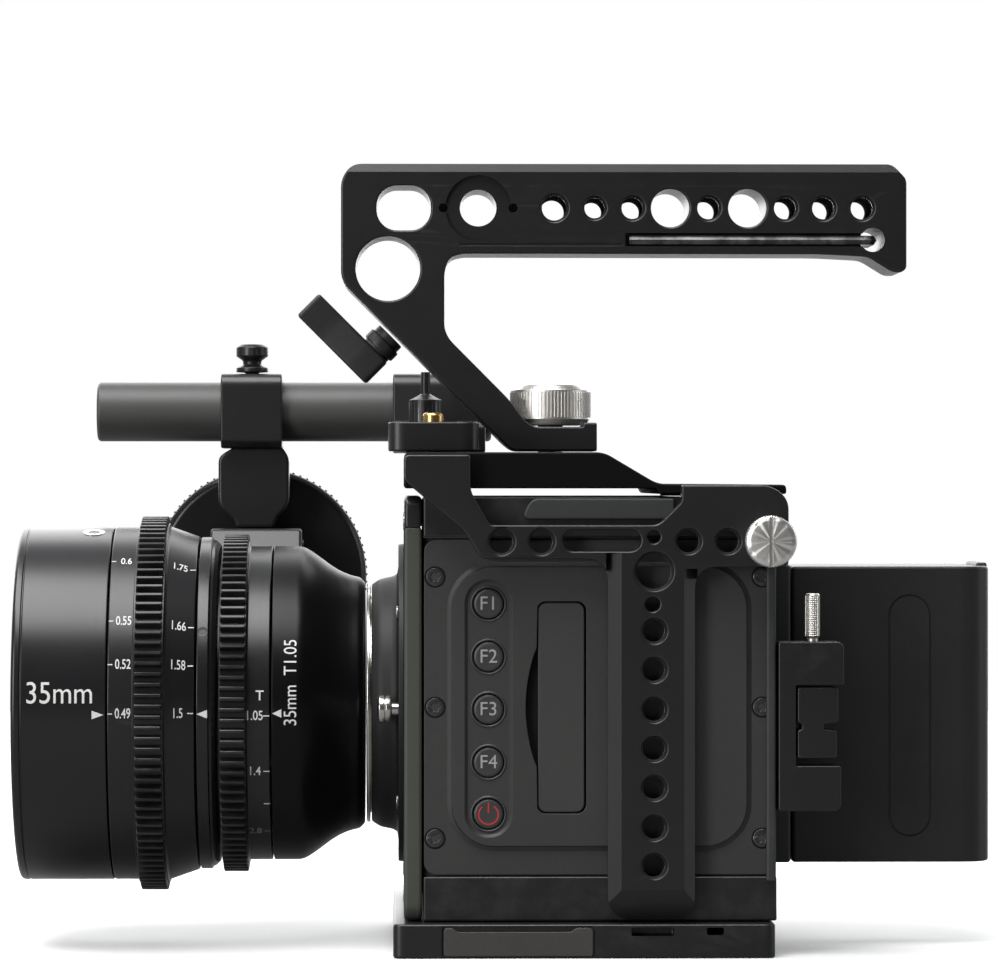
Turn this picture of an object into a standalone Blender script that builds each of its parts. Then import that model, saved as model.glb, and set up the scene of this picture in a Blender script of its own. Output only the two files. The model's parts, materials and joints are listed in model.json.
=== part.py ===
# Cinema camera rig: box camera in a cage, cine lens, top handle, rod and follow focus.
# Metres, +Z up. The lens points to -X and the operator's side is -Y.
# The origin is the centre of the underside of the cage base plate.
import math

import bmesh
import bpy
from mathutils import Matrix, Vector

MM = 0.001

# ---- driving dimensions, in millimetres ----
GAP = 0.3                    # clearance between pieces that touch
CAGE_FRONT = -42.3           # front end of the cage plates
CAGE_REAR = 47.4             # rear end of the cage plates
CAGE_HALF = 51.5             # outer face of a side plate from the middle plane
CAGE_WALL = 4.5              # thickness of a side plate
BASE_T = 8.0                 # base plate thickness
TOP_Z = 118.0                # top face of the cage top plate
BODY_HALF = 45.7             # half width of the camera body
BODY_BOTTOM = 8.3
BODY_TOP = 107.6
BODY_FRONT = -42.3
BODY_REAR = 45.0
WALL = 3.0                   # camera shell wall
PANEL_T = 2.0                # side panel thickness
BUTTON_X = -22.5
BUTTON_Z = (82.5, 70.1, 57.8, 45.4, 33.3)
BUTTON_R = 3.5
BUTTON_TRAVEL = 0.8
LENS_Z = 57.5                # lens axis height
LENS_FRONT = -134.5          # front rim of the lens
GLASS_BACK = 17.0            # crown of the front glass, behind the rim
BARREL_R = 42.6
GEAR_MODULE = 0.8
FOCUS_TEETH = 111
IRIS_TEETH = 100
DRIVE_TEETH = 24
DRIVE_ANGLE = 23.0           # direction of the drive gear from the lens axis, above +Y
HANDLE_HALF = 12.0           # half thickness of the top handle
HANDLE_TOP = 187.6
HOLE_Z = 176.9               # row of holes in the handle
ROD_R = 7.5
ROD_Y = 62.0
ROD_Z = 128.8
ROD_FRONT = -120.0
ROD_REAR = -20.0
WHEEL_X = -78.9              # hand wheel centre
WHEEL_Z = 87.3
WHEEL_R = 27.4
BATTERY_X0 = 50.6
BATTERY_X1 = 98.4
BATTERY_Z0 = 20.0
BATTERY_Z1 = 90.8
BATTERY_HALF = 19.0
CLAMP_Y = -42.0              # middle plane of the cable clamp
SEG = 48                     # facets round a large turned piece

for old in list(bpy.data.objects):
    bpy.data.objects.remove(old, do_unlink=True)
scene = bpy.context.scene
scene.unit_settings.system = 'METRIC'
parts = bpy.data.collections.new("cinema_camera_rig")
cutters = bpy.data.collections.new("cutters")
scene.collection.children.link(parts)
scene.collection.children.link(cutters)


def material(name, rgb, rough, metal):
    m = bpy.data.materials.new(name)
    m.use_nodes = True
    shader = m.node_tree.nodes["Principled BSDF"]
    shader.inputs["Base Color"].default_value = (*rgb, 1.0)
    shader.inputs["Roughness"].default_value = rough
    shader.inputs["Metallic"].default_value = metal
    m.diffuse_color = (*rgb, 1.0)
    return m


def finish(name, mesh, mat, origin, cutter=False):
    """Links a mesh given in world millimetres, with its origin put on `origin`."""
    mesh.transform(Matrix.Scale(MM, 4) @ Matrix.Translation(-Vector(origin)))
    obj = bpy.data.objects.new(name, mesh)
    obj.location = Vector(origin) * MM
    (cutters if cutter else parts).objects.link(obj)
    if cutter:
        obj.hide_render = True
        obj.display_type = 'WIRE'
    elif mat:
        mesh.materials.clear()
        mesh.materials.append(mat)
    return obj


def look(name, rgb, rough, metal):
    return material("mat_" + name, rgb, rough, metal)


def axis_turn(axis):
    """Rotation that takes local +Z to the given direction."""
    return Vector((0, 0, 1)).rotation_difference(Vector(axis).normalized()).to_matrix().to_4x4()


def box(name, x, y, z, mat=None, origin=(0, 0, 0), cutter=False, bevel=0.0):
    bm = bmesh.new()
    size = Matrix.Diagonal((x[1] - x[0], y[1] - y[0], z[1] - z[0], 1))
    mid = Vector(((x[0] + x[1]) / 2, (y[0] + y[1]) / 2, (z[0] + z[1]) / 2))
    bmesh.ops.create_cube(bm, size=1, matrix=Matrix.Translation(mid) @ size)
    mesh = bpy.data.meshes.new(name)
    bm.to_mesh(mesh)
    bm.free()
    obj = finish(name, mesh, mat, origin, cutter)
    if bevel:
        soften(obj, bevel)
    return obj


def rod(name, start, end, r, mat=None, origin=(0, 0, 0), cutter=False, seg=24, r2=None):
    """Cylinder or cone from `start` to `end`."""
    a, b = Vector(start), Vector(end)
    bm = bmesh.new()
    bmesh.ops.create_cone(bm, cap_ends=True, segments=seg, radius1=r, radius2=r if r2 is None else r2,
                          depth=(b - a).length,
                          matrix=Matrix.Translation((a + b) / 2) @ axis_turn(b - a))
    mesh = bpy.data.meshes.new(name)
    bm.to_mesh(mesh)
    bm.free()
    return finish(name, mesh, mat, origin, cutter)


def soften(obj, width, segments=1, angle=35):
    mod = obj.modifiers.new("edge", 'BEVEL')
    mod.width = width * MM
    mod.segments = segments
    mod.limit_method = 'ANGLE'
    mod.angle_limit = math.radians(angle)
    mod.use_clamp_overlap = True


def turned(name, profile, mat, origin, axis, closed=True, steps=SEG, cutter=False, phase=0.0):
    """Profile of (radius, height along axis) swept by a Screw modifier round `axis` at `origin`."""
    verts = [(r * MM * math.cos(phase), r * MM * math.sin(phase), h * MM) for r, h in profile]
    edges = [(i, i + 1) for i in range(len(verts) - 1)]
    if closed:
        edges.append((len(verts) - 1, 0))
    mesh = bpy.data.meshes.new(name)
    mesh.from_pydata(verts, edges, [])
    obj = bpy.data.objects.new(name, mesh)
    obj.matrix_world = Matrix.Translation(Vector(origin) * MM) @ axis_turn(axis)
    (cutters if cutter else parts).objects.link(obj)
    mod = obj.modifiers.new("turn", 'SCREW')
    mod.axis = 'Z'
    mod.steps = mod.render_steps = steps
    mod.use_merge_vertices = True
    mod.merge_threshold = 0.00001
    mod.use_smooth_shade = True
    if cutter:
        obj.hide_render = True
        obj.display_type = 'WIRE'
    else:
        mesh.materials.append(mat)
    return obj


def circle(cx, cy, r, n=16):
    turn = 0.021 * cx + 0.013 * cy                             # no two circles line up, so caps fill cleanly
    return [(cx + r * math.cos(2 * math.pi * i / n + turn),
             cy + r * math.sin(2 * math.pi * i / n + turn)) for i in range(n)]


def pill(x0, x1, y0, y1, r, n=5):
    """Rectangle with round corners of radius r."""
    pts = []
    for cx, cy, start in ((x1 - r, y1 - r, 0), (x0 + r, y1 - r, 90), (x0 + r, y0 + r, 180), (x1 - r, y0 + r, 270)):
        for i in range(n + 1):
            a = math.radians(start + 90 * i / n)
            pts.append((cx + r * math.cos(a), cy + r * math.sin(a)))
    return pts


def outline(name, loops, plane, low, high, mat=None, origin=(0, 0, 0), cutter=False):
    """Flat outline with holes, drawn in XZ, YZ or XY, reaching from `low` to `high` across it."""
    data = bpy.data.curves.new(name, 'CURVE')
    data.dimensions = '2D'
    data.fill_mode = 'BOTH'
    data.extrude = (high - low) / 2
    for loop in loops:
        spline = data.splines.new('POLY')
        spline.points.add(len(loop) - 1)
        for point, (u, v) in zip(spline.points, loop):
            point.co = (u, v, 0, 1)
        spline.use_cyclic_u = True
    mid = (low + high) / 2
    turn = {'XZ': Matrix(((1, 0, 0, 0), (0, 0, -1, mid), (0, 1, 0, 0), (0, 0, 0, 1))),
            'YZ': Matrix(((0, 0, 1, mid), (1, 0, 0, 0), (0, 1, 0, 0), (0, 0, 0, 1))),
            'XY': Matrix.Translation((0, 0, mid))}[plane]
    curve = bpy.data.objects.new(name + "_curve", data)
    cutters.objects.link(curve)
    bpy.context.view_layer.update()
    mesh = bpy.data.meshes.new_from_object(curve.evaluated_get(bpy.context.evaluated_depsgraph_get()))
    bpy.data.objects.remove(curve, do_unlink=True)
    mesh.name = name
    bm = bmesh.new()
    bm.from_mesh(mesh)
    bmesh.ops.remove_doubles(bm, verts=bm.verts, dist=0.001)
    bmesh.ops.transform(bm, matrix=turn, verts=bm.verts)
    bmesh.ops.recalc_face_normals(bm, faces=bm.faces)
    bm.to_mesh(mesh)
    bm.free()
    return finish(name, mesh, mat, origin, cutter)


def boolean(target, tool, operation='DIFFERENCE'):
    if tool.name not in cutters.objects:
        parts.objects.unlink(tool)
        cutters.objects.link(tool)
        tool.hide_render = True
        tool.display_type = 'WIRE'
    mod = target.modifiers.new("bool", 'BOOLEAN')
    mod.operation = operation
    mod.object = tool
    mod.solver = 'EXACT'


def tidy(target):
    """Merges the flat pieces that the cuts leave, which halves the triangles."""
    mod = target.modifiers.new("merge_flat", 'DECIMATE')
    mod.decimate_type = 'DISSOLVE'
    mod.angle_limit = math.radians(0.2)
    mod.delimit = {'NORMAL'}


def cut_box(target, x, y, z):
    boolean(target, box("cut", x, y, z, cutter=True))


def cut_rod(target, start, end, r, seg=20, r2=None):
    boolean(target, rod("cut", start, end, r, cutter=True, seg=seg, r2=r2))


def add_box(target, x, y, z):
    boolean(target, box("add", x, y, z, cutter=True), 'UNION')


def add_rod(target, start, end, r, seg=24, r2=None):
    boolean(target, rod("add", start, end, r, cutter=True, seg=seg, r2=r2), 'UNION')


def gear_loop(teeth, phase, cx=0.0, cy=0.0):
    """Trapezoid teeth, slimmer than half the pitch so that a mating pair keeps backlash."""
    pitch = GEAR_MODULE * teeth / 2
    tip, root = pitch + GEAR_MODULE, pitch - 1.25 * GEAR_MODULE
    step = 2 * math.pi / teeth
    pts = []
    for i in range(teeth):
        a = phase + i * step
        for r, off in ((root, -0.31), (tip, -0.12), (tip, 0.12), (root, 0.31)):
            pts.append((cx + r * math.cos(a + off * step), cy + r * math.sin(a + off * step)))
    return pts


BLACK = look("anodised_black", (0.022, 0.022, 0.024), 0.42, 0.6)
BODY = look("body_paint", (0.040, 0.041, 0.042), 0.55, 0.0)
PANEL = look("side_panel", (0.050, 0.050, 0.050), 0.6, 0.0)
FRAME = look("front_frame", (0.070, 0.076, 0.062), 0.6, 0.0)
LENS = look("lens_barrel", (0.016, 0.016, 0.017), 0.35, 0.7)
STEEL = look("bright_steel", (0.62, 0.60, 0.57), 0.25, 1.0)
DARK_STEEL = look("dark_steel", (0.08, 0.08, 0.085), 0.35, 0.9)
BRASS = look("brass", (0.70, 0.50, 0.22), 0.3, 1.0)
PLASTIC = look("battery_plastic", (0.026, 0.026, 0.027), 0.6, 0.0)
RUBBER = look("button_plastic", (0.045, 0.045, 0.047), 0.5, 0.0)
GLASS = look("coated_glass", (0.05, 0.06, 0.09), 0.03, 0.0)
BOARD = look("circuit_board", (0.02, 0.12, 0.05), 0.5, 0.0)
ALLOY = look("plain_alloy", (0.55, 0.56, 0.57), 0.4, 1.0)

inner = CAGE_HALF - CAGE_WALL

# ---- cage ----
base = outline("cage_base_plate", [
    [(-44.8, -49), (-42.8, -51), (42.4, -51), (44.4, -49), (44.4, 49), (42.4, 51), (-42.8, 51), (-44.8, 49)],
    circle(-16, 0, 3.3), circle(16, 0, 4.9), circle(32, 0, 3.3), pill(-34, -30, -12, 12, 1.9)],
    'XY', 0, BASE_T, BLACK)
cut_box(base, (10.7, 20.7), (-52, -47.5), (5.2, 7.2))          # cable slot in the near edge
cut_box(base, (28.3, 32.3), (-52, 52), (5.4, 7.2))             # strap slot

side_outline = [(-42.3, 117.4), (-26.8, 117.4), (-26.8, 109.0), (-22.3, 101.0), (17.0, 101.0), (22.4, 106.4),
                (22.4, 110.3), (43.2, 110.3), (46.2, 109.1), (47.4, 106.1), (47.4, 91.2), (28.5, 91.2),
                (26.4, 90.3), (25.6, 88.3), (25.6, 12.5), (24.4, 9.5), (21.6, 8.4), (9.5, 8.4), (6.6, 9.5),
                (5.3, 12.5), (5.3, 90.5), (3.5, 93.1), (-24.3, 93.1), (-28.2, 99.6), (-42.3, 111.4)]
side_holes = [circle(-19.6, 97.1, 3.3), circle(-10.3, 97.1, 3.3), pill(-5.4, 12.9, 94.6, 100.1, 2.7),
              circle(24.0, 97.2, 3.2), circle(33.2, 97.2, 3.2), circle(43.0, 97.2, 2.4, 12),
              circle(16.0, 90.2, 4.6), circle(15.6, 82.5, 1.8, 12), circle(15.9, 98.2, 1.6, 12)]
side_holes += [circle(16.0, z, 3.0) for z in (76.3, 67.2, 57.9, 48.8, 39.7, 30.4, 21.5)]
for name, low, high in (("cage_left_plate", -CAGE_HALF, -inner), ("cage_right_plate", inner, CAGE_HALF)):
    plate = outline(name, [side_outline] + side_holes, 'XZ', low, high, BLACK)
    face = low if low < 0 else high
    out = -1 if low < 0 else 1
    # wedge that slopes the front edge of the vertical strip
    wedge = outline("strip_slope", [[(5.0, face + out), (8.6, face + out), (8.6, face), (5.0, face - 2.6 * out)]],
                    'XY', 8, 91.5, cutter=True)
    boolean(plate, wedge)

top = outline("cage_top_plate", [[(-42.3, TOP_Z - 1), (-41.3, TOP_Z), (4.5, TOP_Z), (17.0, 110.7), (47.2, 110.4),
                                  (47.2, 108.2), (17.3, 108.2), (16.6, 109.5), (-42.3, 109.5)]],
              'XZ', -inner + GAP, inner - GAP, BLACK)
cut_rod(top, (-6.7, 0, 105), (-6.7, 0, 120), 3.4)
for x in (-32.0, -20.0):
    for y in (-12.0, 12.0):
        cut_rod(top, (x, y, 105), (x, y, 120), 3.3, seg=16)
boolean(top, outline("top_window", [pill(21, 42, -30, 30, 5)], 'XY', 105, 115, cutter=True))

# ---- camera body ----
front = outline("body_front_frame", [
    [(-45.7, 12.3), (-41.7, 8.3), (41.7, 8.3), (45.7, 12.3), (45.7, 103.6), (41.7, 107.6),
     (-41.7, 107.6), (-45.7, 103.6)], circle(0, LENS_Z, 27.5, 40)], 'YZ', BODY_FRONT, -38.0, FRAME)
cut_rod(front, (-43, -35.2, LENS_Z), (-40, -35.2, LENS_Z), 1.9, seg=12)

shell = box("body_shell", (-37.7, BODY_REAR), (-BODY_HALF, BODY_HALF), (BODY_BOTTOM, BODY_TOP), BODY)
cut_box(shell, (-39, BODY_REAR - WALL), (-40.4, 40.4), (BODY_BOTTOM + WALL, BODY_TOP - WALL))
cut_box(shell, (-38, BODY_REAR + 1), (-47, -43.4), (18.7, 97.9))
for z in BUTTON_Z:
    cut_rod(shell, (BUTTON_X, -44, z), (BUTTON_X, -41.4, z), BUTTON_R + 0.6, seg=16)
for i in range(6):                                             # air outlets on the far side
    cut_box(shell, (4 + 5 * i, 6.5 + 5 * i), (39, 47), (30, 86))

panel = outline("side_panel", [pill(-37.6, 44.9, 19.0, 97.6, 3.0, 3)] +
                [circle(BUTTON_X, z, BUTTON_R + 0.4, 16) for z in BUTTON_Z] +
                [pill(-11.2, 0.4, 33.4, 83.1, 2.2, 3)] +
                [circle(x, z, 2.4, 12) for x in (-35.0, 41.6) for z in (27.6, 58.3, 88.8)],
                'XZ', -BODY_HALF, -BODY_HALF + PANEL_T, PANEL)
step = outline("panel_step", [pill(-40.0, 47.0, 17.0, 100.0, 1.0, 3), pill(-32.2, 39.2, 24.6, 92.4, 11.0)], 'XZ',
               -BODY_HALF - 1, -BODY_HALF + 0.8, cutter=True)      # the middle stands proud of the rim
boolean(panel, step)
notch = outline("thumb_notch", [[(-11.3, 44.5), (-12.6, 49), (-13.5, 54), (-13.7, 58.3), (-13.5, 62.5),
                                 (-12.6, 67.5), (-11.3, 72), (-10.5, 58.3)]], 'XZ', -BODY_HALF - 1,
                -BODY_HALF + 1.5, cutter=True)
boolean(panel, notch)
n = 0
for x in (-35.0, 41.6):
    for z in (27.6, 58.3, 88.8):
        n += 1
        rod("panel_screw_%d" % n, (x, -44.95, z), (x, -43.7, z), 2.1, STEEL, seg=16)

for label, z in zip(("f1", "f2", "f3", "f4", "power"), BUTTON_Z):
    face = -45.1
    turned("button_" + label, [(0, 2.3), (BUTTON_R - 0.4, 2.3), (BUTTON_R, 2.0), (BUTTON_R, 0), (0, 0)], RUBBER,
           (BUTTON_X, face + 2.3, z), (0, -1, 0), closed=False, steps=24)

door = outline("card_door", [pill(-10.9, 0.06, 33.7, 82.8, 2.0, 3)], 'XZ', -45.2, -43.8, PANEL,
               origin=(0.06, -45.2, 58.25))

box("image_sensor", (-34.0, -29.5), (-22, 22), (36, 79), BOARD)
board = outline("main_board", [pill(-36, 36, 18, 98, 3, 3), circle(-30, 24, 1.6, 10), circle(30, 24, 1.6, 10),
                               circle(-30, 92, 1.6, 10), circle(30, 92, 1.6, 10)], 'YZ', -14.0, -12.2, BOARD)
fins = [(-9.0, -30), (-9.0, 30), (-6.5, 30)]
for i in range(8):
    y = 30 - 8 * i
    fins += [(-6.5, y), (6.0, y), (6.0, y - 3), (-6.5, y - 3)]
fins = [p for k, p in enumerate(fins) if k == 0 or p != fins[k - 1]]
sink = outline("heat_sink", [fins[:-1] + [(-6.5, -30)] if fins[-1][1] < -30 else fins], 'XY', 28, 88, ALLOY)

fan = outline("fan_frame", [pill(-28, 28, LENS_Z - 28, LENS_Z + 28, 4, 3), circle(0, LENS_Z, 26.0, 32)],
              'YZ', 12.0, 24.0, PLASTIC)
add_box(fan, (21.5, 23.6), (-27, 27), (LENS_Z - 2, LENS_Z + 2))
blades = []
for i in range(7):
    a = 2 * math.pi * i / 7
    for off, r in ((-0.10, 9.0), (-0.10, 24.5), (0.10, 24.5), (0.10, 9.0)):
        w = off * 9.0 / r * (2.2 if r > 20 else 1.0)
        blades.append((r * math.cos(a + w), LENS_Z + r * math.sin(a + w)))
    blades.append((9.0 * math.cos(a + math.pi / 7), LENS_Z + 9.0 * math.sin(a + math.pi / 7)))
outline("fan_rotor", [blades], 'YZ', 13.0, 20.9, DARK_STEEL, origin=(17.0, 0, LENS_Z))

# ---- lens mount ----
mount = turned("mount_housing", [(27.0, 50.0), (28.9, 50.0), (30.0, 48.0), (30.6, 45.0), (31.2, 43.8), (38.5, 43.6),
                                 (38.5, 42.6), (27.0, 42.6)], BLACK, (0, 0, LENS_Z), (-1, 0, 0))
cut_rod(mount, (-45, -35.2, LENS_Z), (-41, -35.2, LENS_Z), 1.9, seg=12)
turned("lens_bayonet", [(22.5, 51.2), (28.9, 51.2), (28.9, 50.3), (26.6, 50.3), (26.6, 45.5), (22.5, 45.5)],
       STEEL, (0, 0, LENS_Z), (-1, 0, 0))
turned("lens_release_button", [(0, 48.6), (2.9, 48.6), (3.3, 48.2), (3.3, 45.3), (1.5, 45.3), (1.5, 41.0), (0, 41.0)],
       STEEL, (0, -35.2, LENS_Z), (-1, 0, 0), closed=False, steps=20)

# ---- lens ----
lens_at = (0, 0, LENS_Z)
rim = -LENS_FRONT
turned("lens_front_barrel", [
    (38.0, rim - 0.4), (38.4, rim), (41.9, rim), (BARREL_R, rim - 0.7), (BARREL_R, 112.2), (35.5, 112.2),
    (35.5, 91.5), (31.0, 91.5), (31.0, rim - 14.5)], LENS, lens_at, (-1, 0, 0))
turned("lens_mid_barrel", [
    (28.0, 91.1), (40.1, 91.1), (40.1, 88.3), (39.4, 88.1), (38.2, 86.5), (34.0, 86.5), (34.0, 73.9),
    (28.0, 73.9)], LENS, lens_at, (-1, 0, 0))
turned("lens_rear_barrel", [
    (24.0, 73.5), (37.9, 73.5), (37.9, 66.3), (36.5, 64.2), (34.8, 62.0), (33.3, 59.9), (31.9, 57.6), (30.9, 55.2),
    (30.4, 52.9), (28.8, 51.6), (15.6, 51.6), (15.6, 62.0), (24.0, 66.0)], LENS, lens_at, (-1, 0, 0))

drive_a = math.radians(DRIVE_ANGLE)
ring = turned("focus_ring", [
    (36.0, 111.9), (BARREL_R, 111.9), (BARREL_R, 98.9), (40.1, 91.5), (36.0, 91.5)], LENS, lens_at, (-1, 0, 0))
boolean(ring, outline("focus_teeth", [gear_loop(FOCUS_TEETH, drive_a, 0, LENS_Z), circle(0, LENS_Z, 39.0, 40)],
                      'YZ', -105.7, -98.95, cutter=True), 'UNION')
iris = turned("iris_ring", [
    (34.5, 85.9), (38.6, 85.9), (38.6, 79.6), (37.9, 79.4), (37.9, 73.8), (34.5, 73.8)], LENS, lens_at, (-1, 0, 0))
boolean(iris, outline("iris_teeth", [gear_loop(IRIS_TEETH, 0.0, 0, LENS_Z), circle(0, LENS_Z, 36.5, 40)],
                      'YZ', -85.85, -79.5, cutter=True), 'UNION')
crown = rim - GLASS_BACK      # front group follows the rim
cell = turned("focus_cell", [
    (27.3, crown + 0.5), (30.6, crown + 0.5), (30.6, crown - 17.5), (26.0, crown - 17.5), (26.0, crown - 11.8),
    (27.3, crown - 11.8)], LENS, (-109.0, 0, LENS_Z), (-1, 0, 0))
for obj in (cell,):
    obj.data.transform(Matrix.Translation((0, 0, -0.109)))
glass = turned("lens_front_glass", [
    (0, crown), (9, crown - 0.4), (18, crown - 1.9), (24, crown - 3.9), (27.0, crown - 5.3), (27.0, crown - 11.4),
    (0, crown - 11.4)], GLASS,
    (0, 0, LENS_Z), (-1, 0, 0), closed=False, steps=40)
turned("lens_rear_glass", [
    (0, 59.5), (15.3, 58.5), (15.3, 54.5), (10, 53.3), (0, 52.8)], GLASS, (0, 0, LENS_Z), (-1, 0, 0),
    closed=False, steps=32)

# ---- top handle ----
handle = outline("top_handle", [
    [(-54.4, HANDLE_TOP), (75.3, HANDLE_TOP), (78.8, 184.0), (78.8, 162.5), (77.7, 161.6), (75.4, 161.6),
     (72.9, 163.0), (69.8, 165.2), (58.0, 165.8), (-28.4, 165.9), (-31.2, 164.7), (-32.5, 161.7), (-32.5, 147.9),
     (-31.6, 145.6), (-16.9, 130.8), (-13.5, 126.1), (-11.2, 124.3), (0.9, 124.3), (0.9, 125.3), (4.2, 125.3),
     (4.2, TOP_Z + GAP), (-15.9, TOP_Z + GAP), (-17.9, 119.8), (-56.4, 158.3), (-57.4, 160.6), (-57.4, 184.0),
     (-56.6, 186.6)],
    pill(-48.8, -35.8, 171.5, 182.3, 4.9), circle(-24.4, HOLE_Z, 4.6), circle(-6.1, HOLE_Z, 3.3),
    circle(3.6, HOLE_Z, 2.9), circle(12.7, HOLE_Z, 3.0), circle(21.8, HOLE_Z, 4.8), circle(31.0, HOLE_Z, 3.1),
    circle(40.4, HOLE_Z, 4.8), circle(49.5, HOLE_Z, 3.1), circle(58.7, HOLE_Z, 3.1), circle(68.0, HOLE_Z, 3.1),
    circle(-46.1, 162.3, 7.9, 32)], 'XZ', -HANDLE_HALF, HANDLE_HALF, BLACK)
cut_rod(handle, (-24.4, -13, HOLE_Z), (-24.4, -10.8, HOLE_Z), 7.9, seg=28)
cut_box(handle, (11.0, 70.6), (-13, -9.1), (167.7, 170.9))
cut_rod(handle, (70.6, -13, 169.3), (70.6, 13, 169.3), 2.9, seg=16)
cut_rod(handle, (-6.7, 0, 117), (-6.7, 0, 126), 3.4)
cut_rod(handle, (-6.7, 0, 124.3), (-6.7, 0, 137), 10.2, seg=36)  # room for the screw's head

face = Vector((-45.2, 0, 146.7))
nrm = Vector((-1, 0, -1)).normalized()
up = Vector((-1, 0, 1)).normalized()
lever = rod("handle_clamp_lever", face + nrm * 0.4, face + nrm * 12.9, 4.4, DARK_STEEL, origin=face, seg=24)
arm = outline("lever_arm", [[(-4.0, -4.2), (12.0, -3.4), (19.5, -4.4), (19.5, 4.4), (12.0, 3.4), (-4.0, 4.2)]],
              'XY', 5.4, 12.9, cutter=True)
arm.data.transform(Matrix((
    (up.x, 0, nrm.x, face.x * MM), (0, 1, 0, 0), (up.z, 0, nrm.z, face.z * MM), (0, 0, 0, 1))))
boolean(lever, arm, 'UNION')

screw = turned("handle_screw", [
    (0, 134.6), (8.6, 134.6), (9.8, 133.4), (9.8, 125.8), (8.8, 124.8), (3.0, 124.6), (3.0, 111.0), (0, 111.0)],
    STEEL, (-6.7, 0, 0), (0, 0, 1), closed=False, steps=36)
cut_rod(screw, (-18, 0, 129.4), (5, 0, 129.4), 1.2, seg=12)

key_line = bpy.data.curves.new("hex_key", 'CURVE')
key_line.dimensions = '3D'
key_line.bevel_depth = 1.2
key_line.bevel_resolution = 1
key_line.use_fill_caps = True
spline = key_line.splines.new('POLY')
path = [(12.0, -10.6, 169.3), (68.6, -10.6, 169.3), (70.0, -10.1, 169.3), (70.6, -8.8, 169.3), (70.6, 9.0, 169.3)]
spline.points.add(len(path) - 1)
for point, co in zip(spline.points, path):
    point.co = (*co, 1)
temp = bpy.data.objects.new("key_curve", key_line)
cutters.objects.link(temp)
bpy.context.view_layer.update()
key_mesh = bpy.data.meshes.new_from_object(temp.evaluated_get(bpy.context.evaluated_depsgraph_get()))
bpy.data.objects.remove(temp, do_unlink=True)
bm = bmesh.new()
bm.from_mesh(key_mesh)
bmesh.ops.remove_doubles(bm, verts=bm.verts, dist=0.001)
bmesh.ops.recalc_face_normals(bm, faces=bm.faces)
bm.to_mesh(key_mesh)
bm.free()
finish("hex_key", key_mesh, DARK_STEEL, (41.0, -10.6, 169.3))

# ---- shoe block and rod group ----
shoe = outline("shoe_block", [pill(-46.0, -24.5, -34.0, -16.0, 4.0, 3)], 'XY', TOP_Z + GAP, 125.2, BLACK)
cut_rod(shoe, (-35.3, -25, 119.5), (-35.3, -25, 126), 2.8, seg=16)
rod("shoe_pin", (-35.3, -25, 122.4), (-35.3, -25, 127.5), 2.5, BRASS, origin=(-35.3, -25, 122.4), seg=20)

near_y, far_y = ROD_Y - ROD_R - 2.5, ROD_Y + ROD_R + 2.5  # outside of the two rod blocks
crest, keel = ROD_Z + ROD_R + 2.1, ROD_Z - ROD_R - 1.8
bracket = outline("rod_bracket", [
    [(28.0, TOP_Z + GAP), (far_y - 1.5, TOP_Z + GAP), (far_y, 119.8), (far_y, crest - 2.0), (far_y - 2.0, crest),
     (near_y + 2.0, crest), (near_y, crest - 2.0), (near_y - 2.0, 125.0), (28.0, 125.0)],
    circle(ROD_Y, ROD_Z, ROD_R + 0.2, 32)],
    'YZ', -45.0, -22.0, BLACK)
cut_rod(bracket, (-36.8, 40, 119), (-36.8, 40, 126), 2.3, seg=16)
turned("bracket_screw", [
    (0, 138.5), (1.2, 138.5), (1.2, 133.0), (2.6, 132.2), (4.15, 131.5), (4.15, 125.4), (2.0, 125.3), (2.0, 119.4),
    (0, 119.4)], DARK_STEEL, (-36.8, 40, 0), (0, 0, 1), closed=False, steps=20)
turned("support_rod", [
    (4.0, ROD_REAR - ROD_FRONT), (ROD_R - 0.6, ROD_REAR - ROD_FRONT), (ROD_R, ROD_REAR - ROD_FRONT - 0.6),
    (ROD_R, 0.6), (ROD_R - 0.6, 0), (4.0, 0)], BLACK, (ROD_REAR, ROD_Y, ROD_Z), (-1, 0, 0), steps=32)

fclamp = outline("front_rod_clamp", [
    [(near_y + 1.5, keel), (far_y - 1.5, keel), (far_y, keel + 1.5), (far_y, crest - 2.0), (far_y - 2.0, crest),
     (near_y + 2.0, crest), (near_y, crest - 2.0), (near_y, keel + 1.5)],
    circle(ROD_Y, ROD_Z, ROD_R + 0.2, 32)], 'YZ', -88.5, -73.0, BLACK)
add_box(fclamp, (-89.3, -71.2), (55.5, 67.5), (99.3, keel + 0.7))
cut_rod(fclamp, (-80.8, ROD_Y, crest - 1.2), (-80.8, ROD_Y, crest + 0.6), 2.0, seg=16)
turned("front_clamp_knob", [
    (0, crest + 7.6), (3.2, crest + 7.6), (4.1, crest + 6.6), (4.1, crest + 4.6), (2.4, crest + 3.4),
    (2.4, crest + 2.4), (4.1, crest + 1.6), (4.1, crest + 0.4), (1.7, crest + 0.3), (1.7, crest - 0.8),
    (0, crest - 0.8)], DARK_STEEL, (-80.8, ROD_Y, 0), (0, 0, 1), closed=False, steps=20)

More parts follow.
